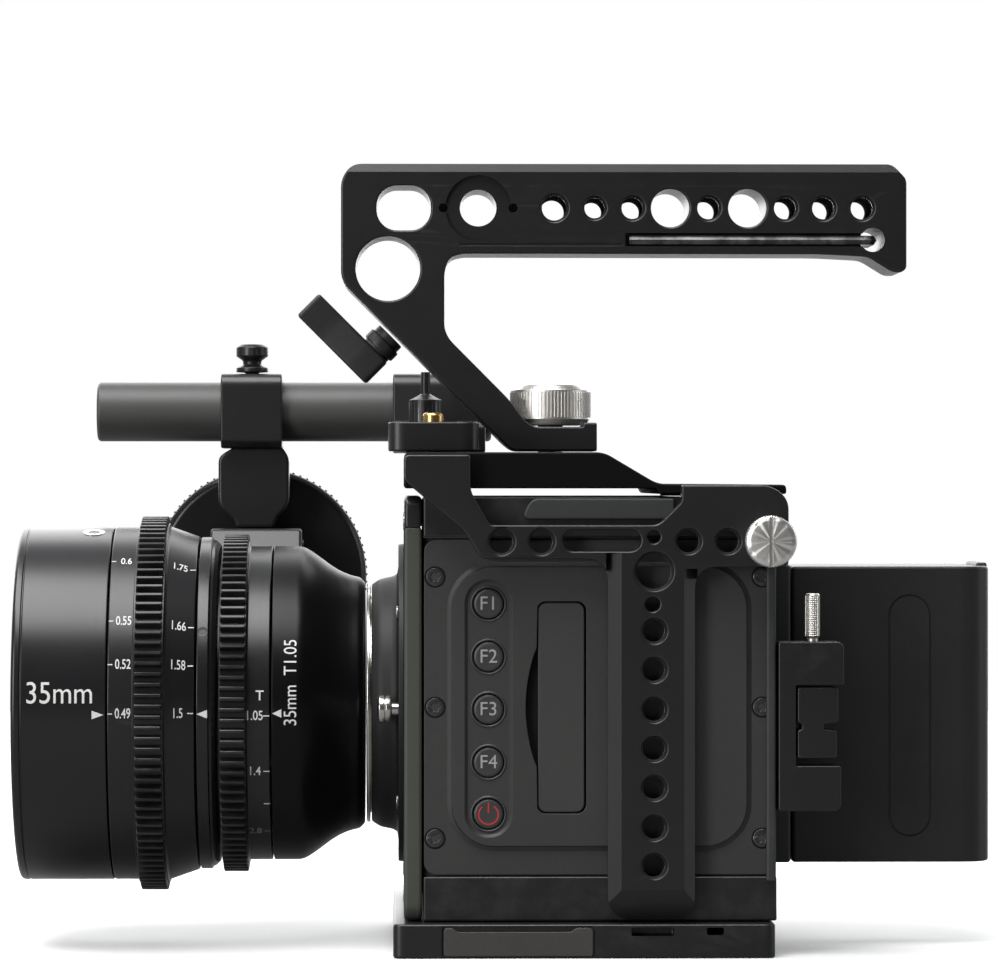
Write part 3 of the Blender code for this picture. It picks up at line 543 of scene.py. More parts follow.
def flatText(words, size, x, y, z, finish, name, body, width=1.0, weight=0.0):
    turn = Matrix.Translation((x, y, z)) @ Matrix.Rotation(math.radians(90), 4,
        "X") @ Matrix.Diagonal((width, 1, 1, 1))
    return finishPiece(letterShape(name, words, size, weight, turn), name, finish, body=body, recalc=False)


def angleAt(z, radius):
    return math.degrees(math.asin((z - axisHeight) / radius))


# lens
lensCentre = (0, 0, axisHeight)
frontBarrel = {"front": -134.5, "rear": -112.15, "radius": 42.6, "hood": 38.0, "bore": 31.0}
b = frontBarrel
hood = []
for i in range(16):                                # baffle steps inside the hood
    hood += [(-133.2 + i * 0.8, b["hood"] - i * 0.42), (-132.9 + i * 0.8, b["hood"] - 0.42 - i * 0.42)]
finishPiece(spinShape(
    [(b["front"], 39.0, 0.3), (b["front"], 42.0, 0.6), (-133.9, b["radius"], 0.5), (-132.6, b["radius"], 0.1),
     (-132.45, b["radius"] - 0.25, 0.1), (-132.2, b["radius"] - 0.25, 0.1), (-132.05, b["radius"], 0.1),
     (b["rear"], b["radius"], 0.35), (b["rear"], 35.5, 0.1), (-91.5, 35.5, 0.1), (-91.5, b["bore"], 0.1),
     (-119.5, b["bore"], 0.1)] + [(x, r, 0.0) for x, r in reversed(hood)],
    lensCentre, "X", radius=0.2, steps=180), "frontBarrel", "lensBlack", ["lens_front_barrel"])
finishPiece(joinShapes(
    spinShape([(-118.0, 27.5), (-118.0, 30.5), (-100.0, 30.5), (-100.0, 26.2)], lensCentre, "X"),
    spinShape([(-118.6, 27.0), (-118.2, 30.2), (-117.6, 30.2), (-117.6, 27.0)], lensCentre, "X", radius=0.15)),
    "frontCell", "ringBlack", ["focus_cell"])
finishPiece(spinShape([(-117.5, 0), (-117.3, 5, 0), (-116.8, 10, 0), (-116.0, 15, 0), (-114.9, 20, 0),
    (-113.5, 24, 0),
                       (-112.2, 27.0, 0.1), (-106.1, 27.0, 0.1), (-106.1, 0)], lensCentre, "X"),
            "frontGlass", "glassCoated", ["lens_front_glass"])
finishPiece(spinShape([(-59.5, 0), (-59.2, 8, 0), (-58.5, 15.2, 0.1), (-54.5, 15.2, 0.1), (-53.2, 8, 0),
    (-52.8, 0)],
                      lensCentre, "X"), "rearGlass", "glassCoated", ["lens_rear_glass"])


def gearTeeth(count, root, tip, x0, x1, phase, share=0.5, centre=lensCentre):
    # one tooth from a cube, tapered and rounded, then copied round the ring
    pitch = math.tau * root / count
    tooth = bmesh.new()
    size = Matrix.Diagonal((x1 - x0, pitch * share * 1.25, tip - root + 0.6, 1))
    middle = Matrix.Translation(((x0 + x1) / 2, 0, (tip + root - 0.6) / 2))
    bmesh.ops.create_cube(tooth, size=1, matrix=middle @ size)
    top = [v for v in tooth.verts if v.co.z > (tip + root) / 2]
    bmesh.ops.scale(tooth, vec=(0.93, 0.50, 1), verts=top,
                    space=Matrix.Translation((-(x0 + x1) / 2, 0, 0)))
    rounded = [e for e in tooth.edges if max(v.co.z for v in e.verts) > (tip + root) / 2]
    bmesh.ops.bevel(tooth, geom=rounded, offset=0.13, segments=1, profile=0.5, affect="EDGES", material=-1)
    bmesh.ops.delete(tooth, geom=[f for f in tooth.faces if f.calc_center_median().z < root - 0.5],
        context="FACES")
    return copyRound(tooth, count, lambda i: Matrix.Translation(centre) @ Matrix.Rotation(
        phase + math.tau * i / count, 4, "X"))


focusRing = {"teeth": 111, "root": 43.4, "tip": 45.15, "gearFront": -105.6, "gearRear": -99.0, "phase": 23.0}
r = focusRing
finishPiece(spinShape([
    (-111.85, 36.1), (-111.85, 42.6, 0.4), (-105.95, 42.6, 0.15), (-105.9, 43.4, 0.1), (-98.75, 43.4, 0.2),
    (-98.55, 42.7, 0.2), (-98.2, 42.5, 0.1), (-91.55, 40.2, 0.3), (-91.55, 36.1)], lensCentre, "X", radius=0.15,
    steps=180), "focusRing", "ringBlack", ["focus_ring"])
driveTurn = math.radians(r["phase"]) - math.pi / 2       # a tooth points at the drive gear
finishPiece(gearTeeth(r["teeth"], r["root"], r["tip"], r["gearFront"], r["gearRear"], driveTurn),
            "focusTeeth", "toothBlack", body="focus_ring")
irisRing = {"teeth": 100, "root": 39.0, "tip": 40.75, "gearFront": -85.75, "gearRear": -79.6}
r = irisRing
finishPiece(spinShape([
    (-85.85, 34.6), (-85.85, 39.0, 0.2), (-79.55, 39.0, 0.15), (-79.35, 38.1, 0.1), (-79.1, 37.9, 0.1),
    (-73.9, 37.9, 0.3), (-73.9, 34.6)], lensCentre, "X", radius=0.15, steps=180),
    "irisRing", "ringBlack", ["iris_ring"])
finishPiece(gearTeeth(r["teeth"], r["root"], r["tip"], r["gearFront"], r["gearRear"], 0.0),
            "irisTeeth", "toothBlack", body="iris_ring")
finishPiece(spinShape([
    (-91.1, 28.0), (-91.1, 40.1, 0.3), (-88.4, 40.1, 0.2), (-88.2, 39.5, 0.1), (-87.6, 39.3, 0.1),
    (-86.5, 38.3, 0.3),
    (-86.5, 34.0), (-74.0, 34.0), (-74.0, 28.0)], lensCentre, "X", radius=0.15, steps=160),
    "midBarrel", "lensBlack", ["lens_mid_barrel"])
# rear barrel in the darker lens black, as painted shade
finishPiece(spinShape([
    (-73.5, 24.0), (-73.5, 37.9, 0.3), (-66.6, 37.9, 1.2), (-64.2, 36.5, 1.0), (-62.0, 34.9, 1.0),
    (-59.9, 33.3, 1.0),
    (-57.6, 31.9, 1.0), (-55.2, 30.9, 1.0), (-52.9, 30.4, 0.5), (-51.7, 29.2, 0.4), (-51.6, 28.6, 0.1),
    (-51.6, 15.6),
    (-62.0, 15.6), (-66.0, 24.0)], lensCentre, "X", radius=0.15, steps=180),
    "rearBarrel", "lensBlackShaded", ["lens_rear_barrel"])
finishPiece(spinShape([
    (-51.2, 22.5), (-51.2, 28.7, 0.15), (-50.9, 28.9, 0.1), (-50.35, 28.9, 0.1), (-50.35, 26.6), (-45.5, 26.6),
    (-45.5, 22.5)], lensCentre, "X", radius=0.1, steps=128), "lensFlange", "flangeSteel", ["lens_bayonet"])
print("lens turned")

lensMarks = {"size": 3.3, "width": 0.66, "front": 42.64, "mid": 40.14, "rear": 37.96,
             "metre": ((34.6, "0.6"), (20.8, "0.55"), (10.7, "0.52"), (-0.8, "0.49")),
             "feet": ((33.2, "1.75"), (19.6, "1.66"), (10.5, "1.58"), (-0.8, "1.5")),
             "stops": ((-1.5, "1.05"), (-14.7, "1.4"), (-29.5, "2.8"), (-37.4, "4"))}
k = lensMarks
for i, (rise, label) in enumerate(k["metre"]):          # rise: height of the number over the lens axis
    a = angleAt(axisHeight + rise, 42.6)
    wrapText(label, k["size"], -108.15, a, k["front"], "whiteFill", "metre%d" % i, "focus_ring",
        width=k["width"], weight=0.03)
    wrapMark(tick(-111.7, -110.6), a, k["front"], "whiteFill",
             "metreTick%d" % i, "focus_ring")
for i, (rise, label) in enumerate(k["feet"]):
    a = angleAt(axisHeight + rise, 41.6)
    wrapText(label, k["size"], -95.4, a, 41.6, "whiteFill", "feet%d" % i, "focus_ring", width=k["width"],
        weight=0.03,
             slope=-0.346)
    wrapMark(tick(-93.1, -91.75), a, 40.8, "whiteFill",
             "feetTick%d" % i, "focus_ring")
for i, (rise, label) in enumerate(k["stops"]):
    a = angleAt(axisHeight + rise, 37.95)
    tone = "whiteFill" if i < 2 else "greyFill"
    if i < 3:
        wrapText(label, k["size"] * 0.95, -77.5, a, k["rear"], tone, "stop%d" % i, "iris_ring", width=0.8,
            weight=0.03)
    wrapMark(tick(-75.4, -73.95), a, k["rear"], tone,
             "stopTick%d" % i, "iris_ring")
wrapMark(tick(-75.4, -73.95), angleAt(axisHeight - 22.6, 37.95), k["rear"],
         "whiteFill", "stopTickHalf", "iris_ring")
wrapText("T", 3.3, -76.2, angleAt(axisHeight + 3.2, 37.9), k["rear"], "whiteFill", "stopLetter", "iris_ring",
    weight=0.03)
wrapText("35mm", 7.3, -123.0, 5.2, k["front"], "whiteFill", "focalLength", "camera_cage", width=0.87)
wrapText("35mm  T1.05", 4.3, -68.9, angleAt(axisHeight + 6.5, 37.95), 37.95, "whiteFill", "barrelText",
         "camera_cage", upright=False, width=0.9)
for name, x0, x1, radius in (("pointerFront", -115.4, -112.6, 42.64), ("pointerMid", -88.5, -91.0, 40.14),
                             ("pointerRear", -71.1, -73.3, 37.95)):
    wrapMark([(x0, -1.0), (x1, 0), (x0, 1.0)], -1.4, radius, "whiteFill", name, "camera_cage")


def surfaceScrew(name, x, angle, radius, size, finish="screwSteel"):
    # a small socket screw let into a barrel
    bm = bmesh.new()
    bmesh.ops.create_cone(bm, cap_ends=True, segments=28, radius1=size, radius2=size, depth=1.2)
    cap = max(bm.faces, key=lambda f: f.calc_center_median().z)
    bmesh.ops.inset_region(bm, faces=[cap], thickness=size * 0.16, depth=-0.03)
    bmesh.ops.inset_region(bm, faces=[cap], thickness=size * 0.28, depth=0.0)
    bmesh.ops.inset_region(bm, faces=[cap], thickness=0.02, depth=-0.6)
    turn = math.radians(angle)
    out = Vector((0, -math.cos(turn), math.sin(turn)))
    bmesh.ops.transform(bm, verts=bm.verts, matrix=Matrix.Translation(
        Vector((x, 0, axisHeight)) + out * (radius - 0.5)) @ Vector((0, 0,
            1)).rotation_difference(out).to_matrix().to_4x4())
    finishPiece(bm, name, finish)


surfaceScrew("barrelScrew", -116.7, 76.0, 42.6, 2.6, "brightSteel")
surfaceScrew("ringScrew", -89.7, 27.0, 40.1, 1.2, "blackSteel")
surfaceScrew("ringScrewFar", -89.7, 147.0, 40.1, 1.2, "blackSteel")
print("lens marked")

# mount and camera body
finishPiece(spinShape([
    (-50.0, 27.0), (-50.0, 28.6, 0.2), (-49.6, 28.9, 0.2), (-48.0, 30.0, 1.0), (-45.0, 30.6, 0.8),
    (-43.9, 31.2, 0.3),
    (-43.6, 33.0, 0.3), (-43.6, 38.3, 0.3), (-42.33, 38.5, 0.1), (-42.33, 27.0)], lensCentre, "X", steps=144),
    "mountHousing", "mountBlack", ["mount_housing"])
finishPiece(spinShape([(-48.6, 0), (-48.6, 2.5, 0.3), (-48.1, 3.3, 0.2), (-46.9, 3.3, 0.1), (-46.8, 3.0, 0.05),
                       (-46.5, 3.0, 0.05), (-46.4, 3.3, 0.1), (-45.4, 3.2, 0.1), (-45.3, 1.5), (-41.0, 1.5),
                       (-41.0, 0)],
                      (0, -35.2, axisHeight), "X", steps=48), "releaseButton", "brightSteel",
            ["lens_release_button"])
for i, turn in enumerate((40, 140, 220, 320)):
    a = math.radians(turn)
    y, z = 34.8 * math.cos(a), axisHeight + 34.8 * math.sin(a)
    finishPiece(barShape((-44.1, y, z), (-43.4, y, z), 1.7), "mountScrew%d" % i, "screwSteel")
frameOutline = roundCorners([(-45.7, 8.3, 4), (45.7, 8.3, 4), (45.7, 100.3, 0.3), (-45.7, 100.3, 0.3)], 4)
# painted shade: the top of the front frame in cage black, where it falls in shade under the cage top
finishPiece(flatShape([roundCorners([(-45.7, 100.4, 0.3), (45.7, 100.4, 0.3), (45.7, 107.6, 4),
    (-45.7, 107.6, 4)], 1)], "YZ", -42.2,
                      -38.05, rim=0.9, steps=3), "frameTopShade", "cageBlack")
finishPiece(flatShape([frameOutline, ringLoop(0, axisHeight, 27.6, 96)], "YZ", -42.3, -38.05, rim=0.9, steps=3),
            "frontFrame", "framePaint", ["body_front_frame"])
for i, (y, z) in enumerate(((-40, 14.5), (40, 14.5), (-40, 101.5), (40, 101.5))):
    finishPiece(barShape((-42.45, y, z), (-41.5, y, z), 1.9), "frameScrew%d" % i, "screwSteel")

shell = {"x": (-37.75, 45.0), "top": 107.6, "bottom": 8.3, "half": 45.7}
buttons = {"x": -22.5, "radius": 3.5, "face": -45.1, "letter": 4.5,
    "rows": (("f1", "F1", 82.5), ("f2", "F2", 70.1), ("f3", "F3", 57.8), ("f4", "F4", 45.4),
        ("power", "", 33.3))}
buttonAt = [(buttons["x"], z) for key, label, z in buttons["rows"]]
portHeights = (30, 46, 62, 78)
s = shell
body = joinShapes(blockShape(s["x"], (-43.4, s["half"]), (s["bottom"], s["top"]), 1.2, 4),
                  blockShape(s["x"], (-s["half"] + 0.3, -42.6), (97.9, 103.0), 0.2))
bodyPiece = finishPiece(body, "bodyShell", "bodyPaint", ["body_shell"])
wells = [barShape((x, -44.5, z), (x, -41.4, z), 4.1, rim=0) for x, z in buttonAt]
vents = [blockShape((4 + 5 * i, 6.5 + 5 * i), (41, 47), (30, 86), 1.0) for i in range(6)]
ports = [blockShape((-28, -12), (43.5, 47), (z, z + 9), 1.5) for z in portHeights]
carve(bodyPiece, joinShapes(*wells), joinShapes(*vents), joinShapes(*ports))
for i, z in enumerate(portHeights):                 # rubber port covers on the far side
    finishPiece(blockShape((-27.7, -12.3), (42.8, 45.5), (z + 0.3, z + 8.7), 1.1), "portCover%d" % i,
        "buttonPlastic")
# painted shade: a cage-black band over the bottom of the body's near side, where the body falls in shadow
finishPiece(blockShape(s["x"], (-s["half"], -42.6), (s["bottom"], 18.7), 0.5), "bodyLowShade", "cageBlack")
# painted shade: a cage-black band along the top of the body's near side, in shade under the cage top
finishPiece(blockShape(s["x"], (-s["half"], -42.6), (98.1, s["top"]), 0.5), "bodyTopShade", "cageBlack")
finishPiece(flatShape([roundCorners([(-15.0, 102.2, 3.0), (21.0, 102.2, 0.6), (21.0, 107.2, 0.6),
    (-12.5, 107.2, 2.0)], 1)], "XZ",
                      -46.5, -45.5, rim=0.45, steps=3), "topLedge", "bodyPaint")

panel = {"outer": (-37.6, 44.9, 19.0, 97.6), "boss": (-32.2, 39.2, 24.6, 92.4), "screwX": (-35.0, 41.6),
    "screwZ": (27.6, 58.3, 88.8)}
outer = slotLoop(*panel["outer"], 3.0)
doorway = [p for p in slotLoop(-11.2, 0.4, 33.4, 83.1, 2.2) if p[0] > -11.15]
notch = [(-11.2, 72.3)] + [(-11.2 - 2.6 * math.sin(math.pi * t / 12) ** 0.8, 72.3 - 27.9 * t / 12)
                           for t in range(1, 12)] + [(-11.2, 44.4)]
top = [p for p in doorway if p[1] > 60]
bottom = [p for p in doorway if p[1] <= 60]
opening = top + notch + bottom
channel = slotLoop(-28.0, -17.0, 27.9, 88.2, 5.4, 12)
x0, x1, z0, z1 = panel["boss"]
foot, crown = slotLoop(x0, x1, z0, z1, 11.0, 14), slotLoop(x0 + 1.2, x1 - 1.2, z0 + 1.2, z1 - 1.2, 9.8, 14)
channelFloor = slotLoop(-27.3, -17.7, 28.6, 87.5, 4.7, 12)
finishPiece(joinShapes(
    flatShape([outer, opening] + [ringLoop(x, z, 4.0, 48) for x, z in buttonAt], "XZ", -44.9, -43.5, rim=0.25,
              steps=3),
    flatShape([crown, channel, opening], "XZ", -45.7, -44.4, rim=0.14)), "sidePanel", "panelGrain",
    ["side_panel"], sharp=30)
finishPiece(slopedWall(foot, slotLoop(x0 + 1.1, x1 - 1.1, z0 + 1.1, z1 - 1.1, 9.9, 14), -44.86, -45.64),
    "bossWall", "panelGrain",
            sharp=40)
finishPiece(slopedWall(channel, channelFloor, -45.55, -44.88), "channelWall", "panelGrain", sharp=40)
# painted shade: a thin near-black sheet inside the card-door doorway, where the pocket falls in shade
finishPiece(blockShape((-14.5, 1.5), (-43.6, -43.35), (32.5, 84.5), 0.05), "doorwayShadeSheet", "paintedShade")
finishPiece(flatShape([slotLoop(-10.9, -0.05, 33.7, 82.8, 2.0)], "XZ", -45.2, -43.9, rim=0.3, steps=3),
            "cardDoor", "doorGrain", ["card_door"])
finishPiece(blockShape((42.5, 44.8), (-46.6, -45.2), (17.4, 97.0), 0.6), "rearRail", "bodyPaint")
n = 0
for x in panel["screwX"]:
    for z in panel["screwZ"]:
        n += 1
        lobes = []
        for i in range(48):
            r = 1.0 + 0.16 * math.cos(6 * math.tau * i / 48)
            lobes.append((x + r * math.cos(math.tau * i / 48), z + r * math.sin(math.tau * i / 48)))
        finishPiece(flatShape([ringLoop(x, z, 2.1, 40), lobes], "XZ", -45.05, -43.9, rim=0.14),
            "panelScrew%d" % n,
                    "capSteel", ["panel_screw_%d" % n])
        # painted shade: a dark ring round each screw head and a dark disc in its socket
        finishPiece(flatShape([ringLoop(x, z, 2.5, 40), ringLoop(x, z, 2.12, 40)], "XZ", -44.95, -44.7,
            rim=0.03),
                    "screwSeatShade%d" % n, "paintedShade")
        finishPiece(barShape((x, -44.75, z), (x, -44.3, z), 1.4, rim=0), "screwSocketShade%d" % n, "paintedShade")

f, r, x = buttons["face"], buttons["radius"], buttons["x"]
for key, label, z in buttons["rows"]:
    finishPiece(spinShape([(f + 0.12, 0), (f + 0.02, 2.4, 0.5), (f, 2.9, 0.2), (f + 0.25, r, 0.3), (f + 2.3, r),
        (f + 2.3, 0)],
                          (x, 0, z), "Y", steps=64),
                "button" + key.capitalize(), "buttonPlastic", ["button_" + key])
    finishPiece(spinShape([(f + 1.6, 3.68), (f + 0.15, 3.72, 0.1), (f - 0.08, 3.95, 0.1), (f + 0.1, 4.3, 0.2),
        (f + 1.5, 4.75, 0.1),
                           (f + 1.6, 4.75)], (x, 0, z), "Y", radius=0.05, steps=72), "bezel" + key.capitalize(),
                "buttonPlastic")
    if label:
        flatText(label, buttons["letter"], x, f - 0.03, z, "labelFill", "label" + label, "button_" + key)
icon = bmesh.new()
rows = [[icon.verts.new((x + r * math.sin(t), f - 0.03, 33.2 + r * math.cos(t))) for r in (2.12, 2.45)]
        for t in map(math.radians, range(34, 327, 6))]
for low, high in zip(rows, rows[1:]):
    icon.faces.new((low[0], low[1], high[1], high[0]))
icon.faces.new([icon.verts.new((x + u, f - 0.03, 33.2 + v)) for u,
    v in ((-0.17, 0.3), (0.17, 0.3), (0.17, 2.8), (-0.17, 2.8))])
finishPiece(icon, "powerIcon", "redFill", body="button_power", recalc=False)
print("camera body done")

# cage
sideOutline = [(-42.3, 117.4, 1.5), (-26.8, 117.4, 1.0), (-26.8, 109.0, 1.5), (-22.3, 101.0, 1.0),
    (17.0, 101.0, 1.5),
               (22.4, 106.4, 1.0), (22.4, 110.3, 0.5), (43.2, 110.3, 3.5), (47.4, 107.1, 3.0),
               (47.4, 91.2, 1.5),
               (25.6, 91.2, 5.5), (25.6, 12.2, 2.5), (22.4, 8.5, 2.5), (8.6, 8.5, 2.5),
               (5.3, 12.2, 2.5), (5.3, 93.1, 5.5), (-24.3, 93.1, 1.5), (-28.2, 99.6, 1.5), (-42.3, 111.4, 1.0)]
cageHoles = [(-19.6, 97.1, 3.1), (-10.3, 97.1, 3.1), (24.0, 97.2, 3.0), (33.2, 97.2, 3.0)]
cageHoles += [(16.0, z, 2.95) for z in (76.3, 67.2, 57.9, 48.8, 39.7, 30.4, 21.5)]
sideLoops = [roundCorners(sideOutline, 1.0), slotLoop(-5.4, 12.9, 94.9, 99.9, 2.45, 10),
    ringLoop(16.0, 90.2, 4.5, 56),
             ringLoop(15.6, 82.5, 1.7, 32), ringLoop(15.9, 98.2, 1.5, 32), ringLoop(43.0, 97.2, 2.2, 32)]
sideLoops += [ringLoop(x, z, r, 40 + 2 * i) for i, (x, z,
    r) in enumerate(cageHoles)]  # equal counts leave the fill open
for label, near, far, out in (("Left", -51.5, -47.0, -1), ("Right", 47.0, 51.5, 1)):
    face = near if out < 0 else far
    plate = finishPiece(flatShape(sideLoops, "XZ", near, far, rim=0.5, steps=3), "cage%sPlate" % label,
        "cageBlack",
                        ["cage_%s_plate" % label.lower()])
    for low, high, edge, flat, upright in ((7.5, 94.6, 4.8, 8.4, True), (7.5, 90.8, 26.1, 23.0, True),
                                           (4.0, 27.0, 6.5, 16.0,
                                               False)):      # both flanks and the foot slope away
        wedge = bmesh.new()
        corners = [(edge, face + out), (flat, face + out), (flat, face),
            (edge, face - (2.4 if upright else 6.0) * out)]
        rings = [[wedge.verts.new((u, v, t) if upright else (t, v, u)) for u, v in corners] for t in (low,
            high)]
        for ring in rings:
            wedge.faces.new(ring)
        for k in range(4):
            wedge.faces.new((rings[0][k], rings[0][k - 1], rings[1][k - 1], rings[1][k]))
        carve(plate, wedge)
    for i, (x, z, r) in enumerate(cageHoles + [(16.0, 90.2, 4.5)]):
        finishPiece(threadLiner(x, z, r - 0.1, near + 0.3, far - 0.3, pitch=0.7), "cageThread%s%d" % (label, i),
            "threadEdge")

topOutline = roundCorners([(-42.3, 118.0, 1.5), (4.5, 118.0, 2.0), (17.0, 110.6, 2.0), (47.2, 110.4, 1.5),
                           (47.2, 108.2, 0.6), (17.3, 108.2, 0.5), (16.6, 109.5, 0.4), (-42.3, 109.5, 0.8)],
                           1.0)
# the top plate takes the darker shaded copy of the cage black, as painted shade
topPlate = finishPiece(flatShape([topOutline], "XZ", -46.7, 46.7, rim=0.5, steps=3), "cageTopPlate", "cageBlackShaded",
                       ["cage_top_plate"])
topHoles = [(x, y) for x in (-32.0, -20.0) for y in (-12.0, 12.0)]
carve(topPlate, joinShapes(*[barShape((x, y, 105), (x, y, 120), 3.3, rim=0) for x,
    y in topHoles + [(-6.7, 0)]]),
      flatShape([slotLoop(21, 42, -30, 30, 5)], "XY", 105, 115, rim=0.2))
basePlate = finishPiece(flatShape([roundCorners([(-44.8, -51, 2.5), (44.4, -51, 2.5), (44.4, 51, 2.5),
    (-44.8, 51, 2.5)], 2),
                        ringLoop(-16, 0, 3.2), ringLoop(16, 0, 4.8), ringLoop(32, 0, 3.2),
                        slotLoop(-34, -30, -12, 12, 1.9)],
                        "XY", 0, 8.0, rim=0.6, steps=3), "cageBasePlate", "cageBlack", ["cage_base_plate"])
carve(basePlate, blockShape((10.7, 20.7), (-52, -47.5), (5.2, 7.2), 0.5),
      blockShape((28.3, 32.3), (-52, 52), (5.4, 7.2), 0.5),
      blockShape((-33.5, 2.2), (-52, -50.4), (-1, 7.6), 0.3))
finishPiece(flatShape([roundCorners([(-33.0, 0.5, 0.8), (1.8, 0.5, 0.8), (1.8, 7.2, 1.2), (-2.0, 7.2, 0.6),
    (-3.4, 6.2, 0.6),
            (-29.6, 6.2, 0.6), (-31.0, 7.2, 0.6), (-33.0, 7.2, 1.2)], 0.8)], "XZ", -50.95, -50.3, rim=0.2),
            "baseInsert", "baseGrey")
print("cage done")

# top handle
keyBore = (70.6, 169.3)
handle = {"half": 12.0, "top": 187.6, "holeRow": 176.9, "rim": 0.55}
h = handle
handleOutline = [
    (-54.6, h["top"], 3.0), (75.3, h["top"], 1.2), (78.8, 184.0, 1.2), (78.8, 162.5, 1.0), (77.7, 161.5, 1.0),
    (75.4, 161.5, 1.0),
    (72.9, 163.0, 1.5), (69.4, 165.2, 1.5), (58.0, 165.8, 3.0), (-28.4, 165.9, 3.0), (-31.4, 164.9, 2.0),
    (-32.5, 161.7, 2.5),
    (-32.5, 147.9, 2.0), (-31.4, 145.4, 2.0), (-16.9, 130.8, 2.5), (-13.5, 126.1, 2.0), (-11.2, 124.3, 1.5),
    (0.7, 124.3, 0.2),
    (0.9, 125.3, 0.4), (4.2, 125.3, 0.6), (4.2, 118.4, 0.4), (-15.9, 118.4, 1.2), (-17.9, 119.8, 1.2),
    (-56.4, 158.3, 1.5),
    (-57.4, 160.6, 1.5), (-57.4, 184.0, 3.0)]
handleHoles = [(-6.1, 3.3), (3.6, 2.75), (12.7, 2.9), (21.8, 4.6), (31.0, 2.95), (40.4, 4.6), (49.5, 2.95),
    (58.7, 2.95), (68.0, 2.95)]
handlePiece = finishPiece(flatShape(
    [roundCorners(handleOutline, 1.0), slotLoop(-48.8, -35.8, 171.5, 182.3, 4.9, 10),
        ringLoop(-24.4, h["holeRow"], 4.4, 56),
     ringLoop(-46.1, 162.3, 7.75, 72)] + [ringLoop(x, h["holeRow"], r, 44 + 2 * i) for i,
         (x, r) in enumerate(handleHoles)],
    "XZ", -h["half"], h["half"], rim=h["rim"], steps=3), "topHandle", "handleBlack", ["top_handle"])
bevels = []
for side in (-1, 1):
    bar = bmesh.new()
    bmesh.ops.create_cube(bar, size=1, matrix=Matrix.Translation((10, 12.0 * side, h["top"])) @ Matrix.Rotation(
        math.radians(45), 4, "X") @ Matrix.Diagonal((160, 2.9, 2.9, 1)))
    bevels.append(bar)
carve(handlePiece, joinShapes(*bevels),
      joinShapes(barShape((-24.4, -13, h["holeRow"]), (-24.4, -11.0, h["holeRow"]), 7.9, rim=0, segments=64),
                 blockShape((11.0, 70.6), (-13, -9.1), (167.7, 170.9), 0.3),
                 blockShape((-29.0, 10.4), (-13, -11.75), (167.7, 168.5), 0.15)),
      joinShapes(barShape((keyBore[0], -13, keyBore[1]), (keyBore[0], 13, keyBore[1]), 2.9, rim=0),
                 barShape((-6.7, 0, 124.3), (-6.7, 0, 137), 10.2, rim=0, segments=72),
                 barShape((-32.8, -13, h["holeRow"]), (-32.8, -8, h["holeRow"]), 1.1, rim=0, segments=24),
                 barShape((-16.0, -13, h["holeRow"]), (-16.0, -8, h["holeRow"]), 1.1, rim=0, segments=24)),
      barShape((-6.7, 0, 117), (-6.7, 0, 125), 3.4, rim=0))
for i, (x, r) in enumerate(handleHoles):
    if r < 4:
        finishPiece(threadLiner(x, h["holeRow"], r - 0.05, -11.5, 11.5, pitch=0.95), "handleThread%d" % i,
            "threadEdge")

lever = {"foot": Vector((-45.2, 0, 146.7)), "post": 4.4, "gap": 5.4, "top": 12.9, "reach": 19.5}
out, along = Vector((-1, 0, -1)).normalized(), Vector((-1, 0, 1)).normalized()
v = lever
arm = flatShape([roundCorners([(-4.0, -4.2, 1.6), (2.0, -4.4, 1.0), (12.0, -3.5, 2.0), (v["reach"], -4.4, 1.2),
    (v["reach"], 4.4, 1.2),
                 (12.0, 3.5, 2.0), (2.0, 4.4, 1.0), (-4.0, 4.2, 1.6)], 1.0)], "XY", v["gap"], v["top"], rim=0.7,
                 steps=3)
bmesh.ops.transform(arm, verts=arm.verts, matrix=Matrix((
    (along.x, 0, out.x, v["foot"].x), (0, 1, 0, 0), (along.z, 0, out.z, v["foot"].z), (0, 0, 0, 1))))
post = joinShapes(barShape(v["foot"] + out * 0.4, v["foot"] + out * 6.5, v["post"] - 0.6, rim=0.3),
                  barShape(v["foot"] + out * 2.2, v["foot"] + out * 4.8, v["post"], rim=0.4),
                  barShape(v["foot"] + out * 12.0, v["foot"] + out * 12.88, 3.0, rim=0.3))
finishPiece(joinShapes(arm, post), "clampLever", "leverBlack", ["handle_clamp_lever"])


def ridgeRing(count, inner, outer, low, high, centre, axis="Z", width=0.5, taper=0.6):
    # a rounded ridge from a cube, copied round a turned piece
    ridge = bmesh.new()
    bmesh.ops.create_cube(ridge, size=1, matrix=Matrix.Translation(((inner + outer) / 2, 0, (low + high) / 2)) @
                          Matrix.Diagonal((outer - inner, width, high - low, 1)))
    tips = [q for q in ridge.verts if q.co.x > (inner + outer) / 2]
    bmesh.ops.scale(ridge, vec=(1, taper, (high - low - 0.4) / (high - low)), verts=tips,
                    space=Matrix.Translation((0, 0, -(low + high) / 2)))
    lay = Matrix.Rotation(math.radians(-90), 4, "X") if axis == "Y" else Matrix.Identity(4)
    return copyRound(ridge, count, lambda i: Matrix.Translation(centre) @ lay @ Matrix.Rotation(
        math.tau * i / count, 4, "Z"))


